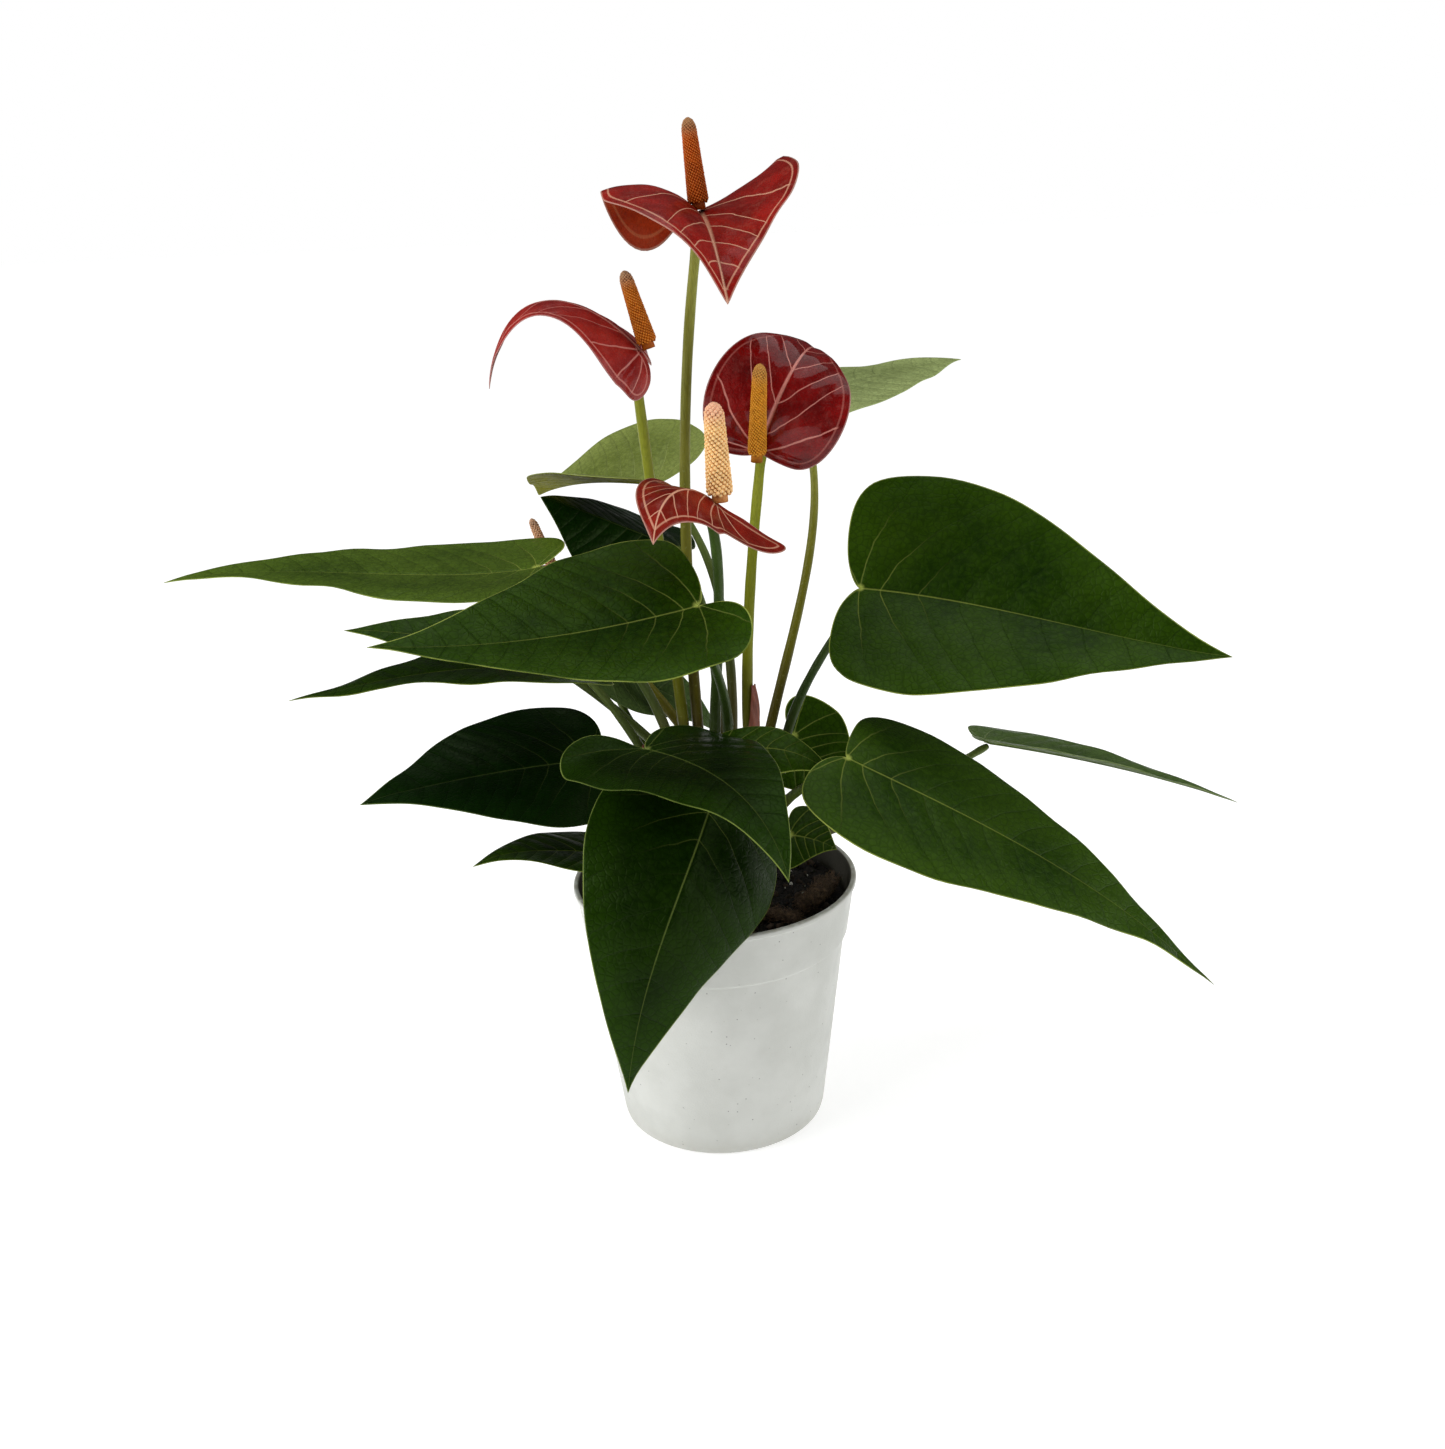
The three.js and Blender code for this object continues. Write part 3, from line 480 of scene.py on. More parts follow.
def even_shares(points, count):
    """The shares of a curve at which count + 1 points lie at equal distances, and its length."""
    t = np.linspace(0, 1, 201)
    path = bezier(points, t)
    run = np.concatenate([[0], np.cumsum(np.linalg.norm(np.diff(path, axis=0), axis=1))])
    return np.interp(np.linspace(0, run[-1], count + 1), run, t), run[-1]


def turn_about(vectors, axes, angles):
    """Each vector turned about its own unit axis by its own angle."""
    c, s = np.cos(angles)[:, None], np.sin(angles)[:, None]
    along = (vectors * axes).sum(1, keepdims=True) * axes
    return vectors * c + np.cross(axes, vectors) * s + along * (1 - c)


class Rib:
    """Place, forward and up along a blade's rib, at any distance from the stalk's end."""

    STEPS = 60

    def __init__(self, spec):
        curve = over_soil(spec["rib"])
        shares, self.length = even_shares(curve, self.STEPS)
        self.at = bezier(curve, shares)
        self.forward = unit(bezier_slope(curve, shares))
        up, ups = np.asarray(spec["face"], float), []
        for ahead in self.forward:
            up = up - ahead * up.dot(ahead)
            up = up / np.linalg.norm(up)
            ups.append(up)
        twist = math.radians(-spec.get("twist", 0)) * np.linspace(0, 1, self.STEPS + 1)
        self.up = turn_about(np.array(ups), self.forward, twist)

    def place(self, distance):
        t = np.clip(np.atleast_1d(distance) / self.length, 0, 1) * self.STEPS
        i = np.minimum(t.astype(int), self.STEPS - 1)
        w = (t - i)[:, None]
        at, ahead, up = [v[i] * (1 - w) + v[i + 1] * w for v in (self.at, self.forward, self.up)]
        return at, unit(ahead), unit(up)


def lay_on_rib(spec, rib, x, y):
    """Surface points for flat points: x along the rib, y across, left positive."""
    side = np.where(y >= 0, 0, 1)
    at, ahead, up = rib.place(x)
    bend = math.radians(spec.get("bend", 0))
    reach = max(spec["back"]) * rib.length
    behind = np.maximum(-x, 0)
    angle = bend * behind / reach
    along = np.where(x < 0, -np.sin(angle) * reach / bend if bend else x, 0)
    lift = (1 - np.cos(angle)) * reach / bend if bend else 0 * x
    at = at + ahead * along[:, None] + up * lift[:, None]
    c, s = np.cos(angle)[:, None], np.sin(angle)[:, None]
    ahead, up = ahead * c - up * s, up * c + ahead * s
    left = np.cross(up, ahead)
    start = np.radians(np.asarray(spec["fold"], float))[side]
    turn = np.radians(np.asarray(spec["curl"], float))[side] / (spec["width"] / 2)
    turn = np.where(turn == 0, 1e-9, turn)
    end = start + turn * np.abs(y)
    across = (np.sin(end) - np.sin(start)) / turn
    rise = (np.cos(start) - np.cos(end)) / turn
    return at + left * (np.sign(y) * across)[:, None] + up * rise[:, None]


def heart_half(spec, back, steps):
    """Half of the flat outline, from the notch round one lobe to the tip, in shares of length and width."""
    wide, tip, neck = spec.get("wide", 0.16), spec.get("tip", 0.16), spec.get("neck", 0.08)
    lobe = 0.5
    parts = [
        [(0, 0), (-0.35 * back, 0.2 * neck), (-back, 0.1 + neck), (-back, lobe)],
        [(-back, lobe), (-back, 0.84), (wide - 0.16, 1), (wide, 1)],
        [(wide, 1), (wide + 0.27, 1), (0.7, tip * 1.9), (1, 0)],
    ]
    counts = [steps // 4, steps // 4, steps - 2 * (steps // 4)]
    return np.concatenate([bezier(p, np.linspace(0, 1, n + 1))[1:] for p, n in zip(parts, counts)])


print("a heart half has", len(heart_half({}, 0.1, 64)), "points")

# %% [markdown]
# The side veins need a number that grows from one vein to the next. In front of the stalk it counts the
# arching lines that leave the midrib. Behind it the veins fan out of the stalk's end into the lobes.

# %% Vein coordinates
def vein_fields(spec, x, y, length, half):
    """The vein number of each flat point, and the distance in millimetres from one vein to the next."""
    gap, fans = length / spec.get("veins", 9), spec.get("fans", 3)
    lean, arch = spec.get("lean", 0.42), spec.get("arch", 0.5) / half
    spread = np.abs(y)
    number = (x - lean * spread - arch * spread**2) / gap
    # the curve through the stalk's end: its angle at each distance
    run = np.linspace(0, half * 2, 160)
    first_x = lean * run + arch * run**2
    radius, angle = np.hypot(first_x, run), np.arctan2(run, np.maximum(first_x, 1e-9))
    angle[0] = angle[1]
    r, theta = np.hypot(x, y), np.arctan2(spread, x)
    first = np.interp(r, radius, angle)
    fan = -(theta - first) / (math.pi - first) * fans
    in_fan = number < 0
    spacing = np.where(in_fan, np.maximum(r * (math.pi - first) / fans, 0.5), gap * 0.9)
    return np.where(in_fan, fan, number) + 0.5, spacing


def distance_to_edge(points, outline):
    """How far each flat point is from a closed outline."""
    best = np.full(len(points), 1e9)
    for a, b in zip(outline, np.roll(outline, -1, axis=0)):
        ab = b - a
        t = np.clip(((points - a) @ ab) / max(ab @ ab, 1e-12), 0, 1)
        best = np.minimum(best, np.linalg.norm(points - (a + t[:, None] * ab), axis=1))
    return best


print("vein number beside the stalk:", vein_fields({}, np.array([5.0]), np.array([1.0]), 100, 40)[0].round(2))


# %% One blade
def blade_piece(spec, finishes, rays=120, rings=34):
    """A closed blade: its upper side has the first finish, its underside the second."""
    rib, half = Rib(spec), spec["width"] / 2
    halves = [heart_half(spec, back, rays // 2) * [rib.length, half] for back in spec["back"]]
    edge = np.concatenate([halves[0], halves[1][::-1][1:] * [1, -1]])
    n = len(edge)
    shares = np.concatenate([np.linspace(0, 1, rings)[1:-1], [0.985, 1.0]])
    flat = np.concatenate([[[0, 0]], *[edge * k for k in shares]])
    ring_count = len(shares)
    x, y = flat[:, 0], flat[:, 1]
    outline = np.concatenate([[[0.0, 0.0]], edge])
    margin = distance_to_edge(flat, outline)
    number, gap = vein_fields(spec, x, y, rib.length, half)
    middle = lay_on_rib(spec, rib, x, y)
    faces = [(0, 2 + j, 1 + j) for j in range(n - 1)]
    j = np.arange(n - 1)
    for ring in range(1, ring_count):
        a = 1 + (ring - 1) * n + j
        faces += np.stack([a, a + 1, a + n + 1, a + n], axis=1).tolist()
    normals = point_normals(middle, faces)
    middle = middle + normals * relief_of(spec, x, y, rib.length, half, number, gap, margin)[:, None]
    thick = 0.25 * np.clip(0.45 + margin / 1.2, 0, 1)
    bulge = 0.45 * np.exp(-(y / 1.0) ** 2) * np.clip(1 - x / rib.length, 0, 1) * (x > 0)
    upper, lower = middle + normals * thick[:, None], middle - normals * (thick + bulge)[:, None]
    rim = [0] + [1 + k * n for k in range(ring_count)]
    rim += [1 + (ring_count - 1) * n + k for k in range(1, n)]
    rim += [1 + k * n + n - 1 for k in range(ring_count - 2, -1, -1)]
    count, rim = len(flat), np.array(rim)
    outward = unit(rim_outward(middle[rim], normals[rim]))
    crest = middle[rim] + outward * 0.12
    points = np.concatenate([upper, lower, crest])
    under = [tuple(count + v for v in reversed(f)) for f in faces]
    m, k = len(rim), np.arange(len(rim))
    a, b = rim[k], rim[(k + 1) % m]
    c, d = 2 * count + k, 2 * count + (k + 1) % m
    walls = np.concatenate([np.stack([a, b, d, c], 1), np.stack([c, d, count + b, count + a], 1)]).tolist()
    kinds = [0] * len(faces) + [1] * len(under) + [0] * len(walls)
    made = new_piece(spec["piece"], points, faces + under + walls, finishes, kinds)
    source = np.concatenate([np.arange(count), np.arange(count), rim])
    set_map(made.data, "flat", np.stack([x, y], 1)[source] / 100)
    set_map(made.data, "veins", np.stack([number, gap], 1)[source])
    set_value(made.data, "margin", margin[source])
    set_value(made.data, "tipward", (x / rib.length)[source])
    return made


def point_normals(points, faces):
    """Normals of a sheet, from its faces."""
    normals = np.zeros_like(points)
    quads = np.array([f if len(f) == 4 else (*f, f[2]) for f in faces])
    p = points[quads]
    face = np.cross(p[:, 2] - p[:, 0], p[:, 3] - p[:, 1]) + np.cross(p[:, 1] - p[:, 0], p[:, 2] - p[:, 0])
    for corner in range(4):
        np.add.at(normals, quads[:, corner], face)
    return unit(normals)


def rim_outward(loop, normals):
    """The way out of a sheet along its closed boundary."""
    along = np.roll(loop, -1, axis=0) - np.roll(loop, 1, axis=0)
    return np.cross(normals, along)


def relief_of(spec, x, y, length, half, number, gap, margin):
    """How far the blade swells between its veins and waves along its margin, in millimetres."""
    inner = np.clip(margin / 4, 0, 1) * np.clip(np.abs(y) / 4, 0, 1)
    cushion = -np.cos(2 * math.pi * number) * spec.get("quilt", 0.07) * inner * np.clip(gap / 8, 0, 1)
    seed = sum(map(ord, spec["piece"])) % 97
    wave = np.array([noise.noise(Vector((a / 22, b / 22, seed))) for a, b in zip(x, y)])
    ruffle = np.array([noise.noise(Vector((a / 9, b / 9, seed + 5))) for a, b in zip(x, y)])
    near_edge = np.clip(1 - margin / (0.35 * half), 0, 1) ** 2
    away = np.clip(np.hypot(x, y) / 12, 0, 1)
    groove = -0.35 * np.exp(-(y / 0.9) ** 2) * np.clip(1 - x / length, 0, 1) * (x > 0)
    rough = spec.get("pucker", 0.3) * ruffle * inner
    return (cushion + away * (wave * spec.get("wave", 2.0) * near_edge + rough) + groove)


print("blade maker ready")

# %% [markdown]
# ## The tables of leaves and flowers
# These are the CAD model's own numbers. The rib gives the stalk's end, two guides and the tip. Face is
# the way the upper side looks, fold and curl bend the left and right sides, and back is the reach of
# each lobe. A stalk leaves a shoot at a compass angle and height, and passes near two guides.

# %% Tables
SHOOTS = {
    "centre": {"foot": (-6, 0), "head": (-4, 0, 50), "radius": (7, 5)},
    "right": {"foot": (14, 2), "head": (25, 3, 60), "radius": (6.5, 4.5)},
    "back": {"foot": (2, 27), "head": (5, 32, 52), "radius": (6.5, 4.5)},
}


def row(name, width, face, fold, curl, back, rib, start, via, look, **more):
    return {"name": name, "width": width, "face": face, "fold": fold, "curl": curl, "back": back,
            "rib": rib, "from": start, "via": via, "look": look, **more}


LEAVES = [
    row("leaf_01", 102, (0, -.75, .65), (18, 18), (-10, -10), (.05, .05),
        ((65, 20, 127), (115, 6, 124), (160, -23, 112), (200, -40, 109)),
        ("right", 40, 52), ((34, 16, 77), (42, 20, 90)), "dark", veins=9),
    row("leaf_02", 78, (.25, -.3, .9), (5, 0), (-12, -18), (.02, .06),
        ((53, -45, 77), (90, -57, 60), (145, -70, 36), (187, -80, -8)),
        ("right", 315, 32), ((28, -14, 52), (42, -32, 62)), "fresh", tip=.08, veins=13),
    row("leaf_03", 52, (0, .2, 1), (12, 12), (-5, -5), (.06, .06),
        ((125, 60, 43), (162, 55, 37), (200, 47, 29), (236, 40, 16)),
        ("right", 20, 20), ((46, 12, 16), (88, 44, 26)), "grey", veins=11),
    row("leaf_04", 78, (-.05, -.38, .93), (10, 18), (-14, -12), (.12, .05),
        ((-1, -60, 143), (-40, -73, 137), (-75, -94, 139), (-111, -100, 144)),
        ("centre", 335, 48), ((17, 2, 86), (-1, -32, 118)), "dark", bend=35, veins=11),
    # leaf_05 faces up and takes the light look, whose colour holds painted sheen
    row("leaf_05", 74, (0, -.05, 1), (4, 8), (-8, -6), (.08, .08),
        ((-65, 0, 146), (-106, -2, 140), (-162, -10, 156), (-205, -20, 151)),
        ("centre", 176, 46), ((-15, 1, 90), (-38, -2, 122)), "light", veins=12),
    row("leaf_06", 42, (0, -.45, .9), (5, 5), (-10, -10), (.1, .1),
        ((-78, 42, 102), (-102, 42, 106), (-130, 44, 110), (-156, 46, 112)),
        ("back", 190, 34), ((-26, 32, 65), (-58, 36, 92)), "dark"),
    row("leaf_07", 58, (0, .1, 1), (0, 14), (-8, -8), (.04, .04),
        ((-48, 10, 99), (-87, -5, 111), (-124, -20, 110), (-159, -35, 105)),
        ("centre", 192, 34), ((-20, 2, 52), (-34, 8, 80)), "dark", veins=10),
    # leaf_08 takes the near-black deep look, which is painted shade
    row("leaf_08", 78, (-.05, -.35, .93), (3, 6), (-10, -10), (.08, .12),
        ((-52, 8, 61), (-84, -4, 63), (-110, -22, 65), (-137, -36, 63)),
        ("centre", 205, 22), ((-20, -4, 32), (-36, 4, 52)), "deep"),
    row("leaf_09", 44, (0, 0, 1), (5, 5), (-10, -10), (.1, .1),
        ((-45, -15, 29), (-62, -20, 32), (-79, -25, 38), (-96, -34, 34)),
        ("centre", 215, 8), ((-20, -8, 14), (-34, -12, 24)), "dark", veins=7),
    # leaf_10 and leaf_11 take the nearly black look, which is painted shade
    row("leaf_10", 76, (-.1, -.15, 1), (-5, 16), (-18, -20), (.1, .2),
        ((-24, -34, 80), (-2, -62, 84), (20, -98, 86), (27, -105, 54)),
        ("centre", 235, 40), ((-14, -12, 56), (-22, -22, 64)), "dusk", wide=.08, bend=45),
    row("leaf_11", 86, (0, -.8, .6), (-28, 4), (-30, -10), (.06, .06),
        ((1, -40, 60), (-12, -88, 40), (-30, -84, 6), (-36, -86, -41)),
        ("centre", 280, 20), ((-3, -16, 46), (0, -30, 58)), "dusk", veins=9),
    row("leaf_12", 28, (0, -.3, 1), (6, -20), (-12, -12), (.12, .12),
        ((6, -24, 73), (18, -25, 77), (38, -26, 77), (50, -28, 61)),
        ("right", 200, 40), ((10, -4, 50), (3, -14, 64)), "dark", veins=7),
    row("leaf_13", 42, (-.2, -.7, .7), (5, 5), (0, 0), (.3, .3),
        ((37, 36, 58), (44, 34, 51), (54, 28, 42), (66, 26, 32)),
        ("right", 70, 28), ((26, 26, 38), (32, 38, 48)), "dark", veins=7),
    row("leaf_14", 84, (0, 0, 1), (16, 40), (-4, -16), (.15, .2),
        ((-18, 55, 168), (-36, 66, 168), (-56, 84, 167), (-73, 95, 158)),
        ("back", 50, 50), ((14, 42, 95), (8, 50, 150)), "pale", wide=.3, tip=.34),
    # leaf_15 takes the near-black deep look, which is painted shade
    row("leaf_15", 84, (0, -.8, .6), (8, -50), (-10, -10), (.15, .15),
        ((-9, 62, 138), (-32, 58, 148), (-49, 54, 158), (-67, 50, 165)),
        ("back", 90, 44), ((4, 50, 75), (6, 62, 114)), "deep", tip=.32),
    row("leaf_16", 60, (0, -.3, .95), (-8, 6), (-8, -8), (.15, .15),
        ((39, 60, 201), (63, 73, 205), (94, 90, 209), (119, 100, 210)),
        ("right", 105, 50), ((32, 26, 100), (64, 46, 162)), "young", tip=.28),
    row("leaf_17", 32, (0, -.5, .8), (0, 0), (-6, -6), (.1, .1),
        ((32, -8, 30), (38, -10, 30), (45, -13, 29), (51, -16, 26)),
        ("right", 290, 14), ((24, -8, 18), (29, -8, 24)), "dark", neck=.16, veins=5),
    row("leaf_18", 38, (0, -.5, .85), (8, 8), (-6, -6), (.12, .12),
        ((-42, 48, 89), (-27, 52, 78), (-6, 56, 71), (6, 60, 51)),
        ("back", 165, 26), ((-18, 38, 40), (-40, 42, 66)), "grey"),
]
FLOWERS = [
    row("flower_1", 79, (0, -.3, 1), (18, 52), (12, -75), (.36, .32),
        ((5, 2, 276), (9, -15, 273), (11, -45, 260), (14, -50, 246)),
        ("centre", 80, 45), ((-7, 10, 120), (-8, 12, 200)), "flower_1", wide=.1, bend=-115,
        spadix={"length": 29, "lean": (-.09, 0, 1), "radius": (3.8, 2.4)}, veins=5, quilt=.12,
        lean=.8, arch=1.3),
    row("flower_2", 44, (0, -.3, 1), (-12, -10), (-14, -20), (.2, .12),
        ((-18, -18, 229), (-35, -21, 250), (-66, -26, 263), (-73, -30, 219)),
        ("centre", 125, 48), ((-11, 6, 100), (-18, -2, 170)), "flower_2", wide=.08, bend=-60, twist=-45,
        spadix={"length": 26, "lean": (-.28, 0, 1), "radius": (3.6, 2.2)}, veins=5, quilt=.12,
        lean=1.6, arch=1.4, fans=4),
    row("flower_3", 53, (-.1, -.95, .3), (5, 5), (-14, -14), (.08, .03),
        ((24, -20, 191), (28, -27, 206), (42, -22, 234), (48, 10, 224)),
        ("right", 185, 56), ((15, 10, 100), (21, 0, 155)), "flower_3", wide=.3, tip=.3,
        spadix={"length": 33, "lean": (.06, -.1, 1), "radius": (3.4, 2.4)}, veins=5, quilt=.2,
        pucker=.8, lean=1.1, arch=.7, fans=4),
    row("flower_4", 42, (0, -.3, 1), (-20, -30), (20, 10), (.6, .15),
        ((7, -48, 178), (-3, -54, 188), (-13, -68, 188), (-15, -80, 170)),
        ("centre", 35, 44), ((1, 8, 90), (12, -24, 145)), "flower_4", bend=30, neck=.16,
        spadix={"length": 32, "lean": (-.03, -.02, 1), "radius": (4.6, 3.2), "sink": .9}, veins=5,
        lean=.9, arch=1.0, fans=4),
    row("flower_5", 26, (0, -.1, 1), (-5, -5), (-10, -10), (.1, .1),
        ((-63, 46, 134), (-70, 48, 135), (-78, 50, 134), (-86, 52, 130)),
        ("back", 150, 48), ((-20, 40, 78), (-48, 44, 110)), "flower_5",
        spadix={"length": 22, "lean": (-.35, 0, 1), "radius": (2.3, 1.6)}, veins=5),
]
for plant_row in LEAVES:
    plant_row["piece"] = plant_row["name"] + "_blade_fine"
for plant_row in FLOWERS:
    plant_row["piece"] = plant_row["name"] + "_spathe_fine"
print(len(LEAVES), "leaves and", len(FLOWERS), "flowers")

# %% Make the leaf blades
for leaf in LEAVES:
    pale = leaf["look"] in ("pale", "young")
    finishes = [LEAF_TOPS[leaf["look"]], PALE_UNDER if pale else LEAF_UNDER]
    blade = blade_piece(leaf, finishes)
    adopt(blade, "pale_leaf" if leaf["name"] in ("leaf_14", "leaf_16") else "leaf", leaf["name"] + "_blade")
    print(leaf["name"], "faces", len(blade.data.polygons))

# %% Make the spathes
for flower in FLOWERS:
    spathe = blade_piece(flower, [SPATHE_TOPS[flower["look"]], SPATHE_UNDER], rays=140, rings=40)
    adopt(spathe, "spathe", flower["name"] + "_spathe")
    print(flower["name"], "spathe faces", len(spathe.data.polygons))

# %% [markdown]
# ## Stalks
# A petiole carries a leaf and a peduncle carries a flower. Each is a tapered tube along a cubic curve
# from beside its shoot to just under its blade. Real ones are smooth, a little wavy, swollen at the
# joint below the blade, and change from brown-olive at the foot to green or yellow-green at the top.

# %% Finish: stalks
def stalk_finish(name, foot, middle, top, gloss=0.36):
    made, g, shader = new_finish(name)
    along = g.value("along")
    place = g.place()
    drift = g.math("ADD", along, g.math("MULTIPLY", g.math("SUBTRACT", g.noise(place, 60.0), 0.5), 0.3))
    colour = g.mix(g.step(drift, 0.05, 0.45), shade(foot), shade(middle))
    colour = g.mix(g.step(drift, 0.5, 0.95), colour, shade(top))
    thin = g.node("ShaderNodeMapping", None, {"Vector": place, "Scale": (1.0, 1.0, 0.12)}).outputs[0]
    fibres = g.step(g.noise(thin, 1500.0, 2.0), 0.35, 0.7)
    colour = g.tint(colour, fibres, 0.3, [c * 0.55 for c in middle])
    specks = g.step(g.noise(place, 800.0, 1.0), 0.66, 0.74)
    colour = g.tint(colour, specks, 0.35, [0.7 * c + 0.05 for c in top])
    height = g.math("ADD", g.math("MULTIPLY", fibres, 0.5), g.noise(place, 400.0, 3.0))
    wire(shader, colour, gloss, g.bump(height, 0.35, 0.0003))
    shader.inputs["Specular IOR Level"].default_value = 0.14
    return made


STALK_LOOKS = {
    "olive": stalk_finish("stalk, olive", (0.060, 0.042, 0.004), (0.130, 0.125, 0.008),
                          (0.240, 0.250, 0.040)),
    "yellow": stalk_finish("stalk, yellow-green", (0.090, 0.080, 0.006), (0.150, 0.165, 0.004),
                           (0.230, 0.250, 0.020)),
    "green": stalk_finish("stalk, dark green", (0.028, 0.040, 0.008), (0.030, 0.055, 0.010),
                          (0.050, 0.090, 0.016), gloss=0.28),
    "leafy": stalk_finish("stalk, leaf green", (0.070, 0.055, 0.014), (0.055, 0.080, 0.014),
                          (0.100, 0.140, 0.028)),
}
STALK_OF = {"flower_1": "olive", "flower_2": "yellow", "flower_3": "yellow", "flower_4": "green",
            "flower_5": "olive", "leaf_16": "olive", "leaf_01": "green", "leaf_04": "green"}
print("stalk finishes:", sorted(STALK_LOOKS))


# %% The rule of a tube
def tube_points(path, radii, sides):
    """Rings round a path, kept from twisting, and the faces between them with closed ends."""
    path = np.asarray(path, float)
    tangents = unit(np.gradient(path, axis=0))
    side = np.cross(tangents[0], [0.3, 0.2, 1.0] if abs(tangents[0][2]) < 0.9 else [1.0, 0.1, 0.0])
    rings, turn = [], np.linspace(0, 2 * math.pi, sides, endpoint=False)
    for centre, tangent, radius in zip(path, tangents, radii):
        side = unit(side - tangent * side.dot(tangent))
        other = np.cross(tangent, side)
        rings.append(centre + radius * (np.cos(turn)[:, None] * side + np.sin(turn)[:, None] * other))
    points, faces, count = np.concatenate(rings), [], len(path)
    j = np.arange(sides)
    for i in range(count - 1):
        a, b = i * sides + j, i * sides + (j + 1) % sides
        faces += np.stack([a, b, b + sides, a + sides], axis=1).tolist()
    faces.append([*reversed(range(sides))])
    faces.append([(count - 1) * sides + k for k in range(sides)])
    return points, faces


def shoot_axis(shoot, height):
    ground, head = over_soil([*shoot["foot"], 0]), over_soil(shoot["head"])
    return ground + (head - ground) * height / shoot["head"][2]


def shoot_radius(shoot, height):
    share = min(max(height / shoot["head"][2], 0), 1)
    return shoot["radius"][0] + (shoot["radius"][1] - shoot["radius"][0]) * share


def stalk_guides(spec, radii):
    """The four points of a stalk's curve: foot beside the bark, two guides, and under the blade."""
    name, compass, height = spec["from"]
    shoot, angle = SHOOTS[name], math.radians(compass)
    outward = np.array([math.cos(angle), math.sin(angle), 0])
    bark = shoot_axis(shoot, height) + outward * (shoot_radius(shoot, height) + SEAT_GAP)
    via = over_soil(spec["via"])
    leaving = unit(via[0] - bark)
    foot = bark + outward * radii[0] * math.sqrt(max(0, 1 - leaving.dot(outward) ** 2))
    at, _, up = [v[0] for v in Rib(spec).place(2)]
    arriving = unit(at - via[1])
    tilt = math.sqrt(max(0, 1 - arriving.dot(up) ** 2))
    droop = max(0, -math.sin(math.radians(min(spec["fold"]))))
    top = at - up * (HALF_BLADE + SEAT_GAP + radii[1] * (tilt + droop))
    return [foot, via[0], via[1], top]


def stalk_piece(spec, name, radii, look):
    guides = stalk_guides(spec, radii)
    shares, _ = even_shares(guides, 90)
    path = bezier(guides, shares)
    t = np.linspace(0, 1, 91)
    joint = np.exp(-((t - 0.965) / 0.02) ** 2) * 0.14 + np.exp(-(t / 0.02) ** 2) * 0.25
    wavy = 0.02 * np.sin(t * 21 + len(name)) + 0.015 * np.sin(t * 47)
    size = (radii[0] + (radii[1] - radii[0]) * t) * (1 + joint + wavy)
    size[-1] *= 0.8
    points, faces = tube_points(path, size, 20)
    made = new_piece(name, points, faces, [STALK_LOOKS[look]])
    set_value(made.data, "along", np.repeat(t, 20))
    return made


# %% Make the stalks
PETIOLE_RADIUS, PEDUNCLE_RADIUS = (2.3, 1.5), (2.4, 1.9)
for leaf in LEAVES:
    look = STALK_OF.get(leaf["name"], "leafy")
    adopt(stalk_piece(leaf, leaf["name"] + "_petiole_fine", PETIOLE_RADIUS, look), "petiole",
          leaf["name"] + "_petiole")
for flower in FLOWERS:
    look = STALK_OF[flower["name"]]
    adopt(stalk_piece(flower, flower["name"] + "_peduncle_fine", PEDUNCLE_RADIUS, look), "peduncle",
          flower["name"] + "_peduncle")
print("stalks:", len(LEAVES) + len(FLOWERS))

# %% [markdown]
# ## Spadices
# A spadix is a finger covered with hundreds of tiny florets in close spirals. Each floret sits one golden
# angle round from the last, as on a pine cone, so one small geometry graph places them all: it numbers
# the points, turns each number into an angle and a height, and stands a small bead on every point.

# %% Geometry: florets round a finger
GOLDEN_ANGLE = 2.399963
SHOULDER = 0.86        # share of the finger's length at which its round tip starts


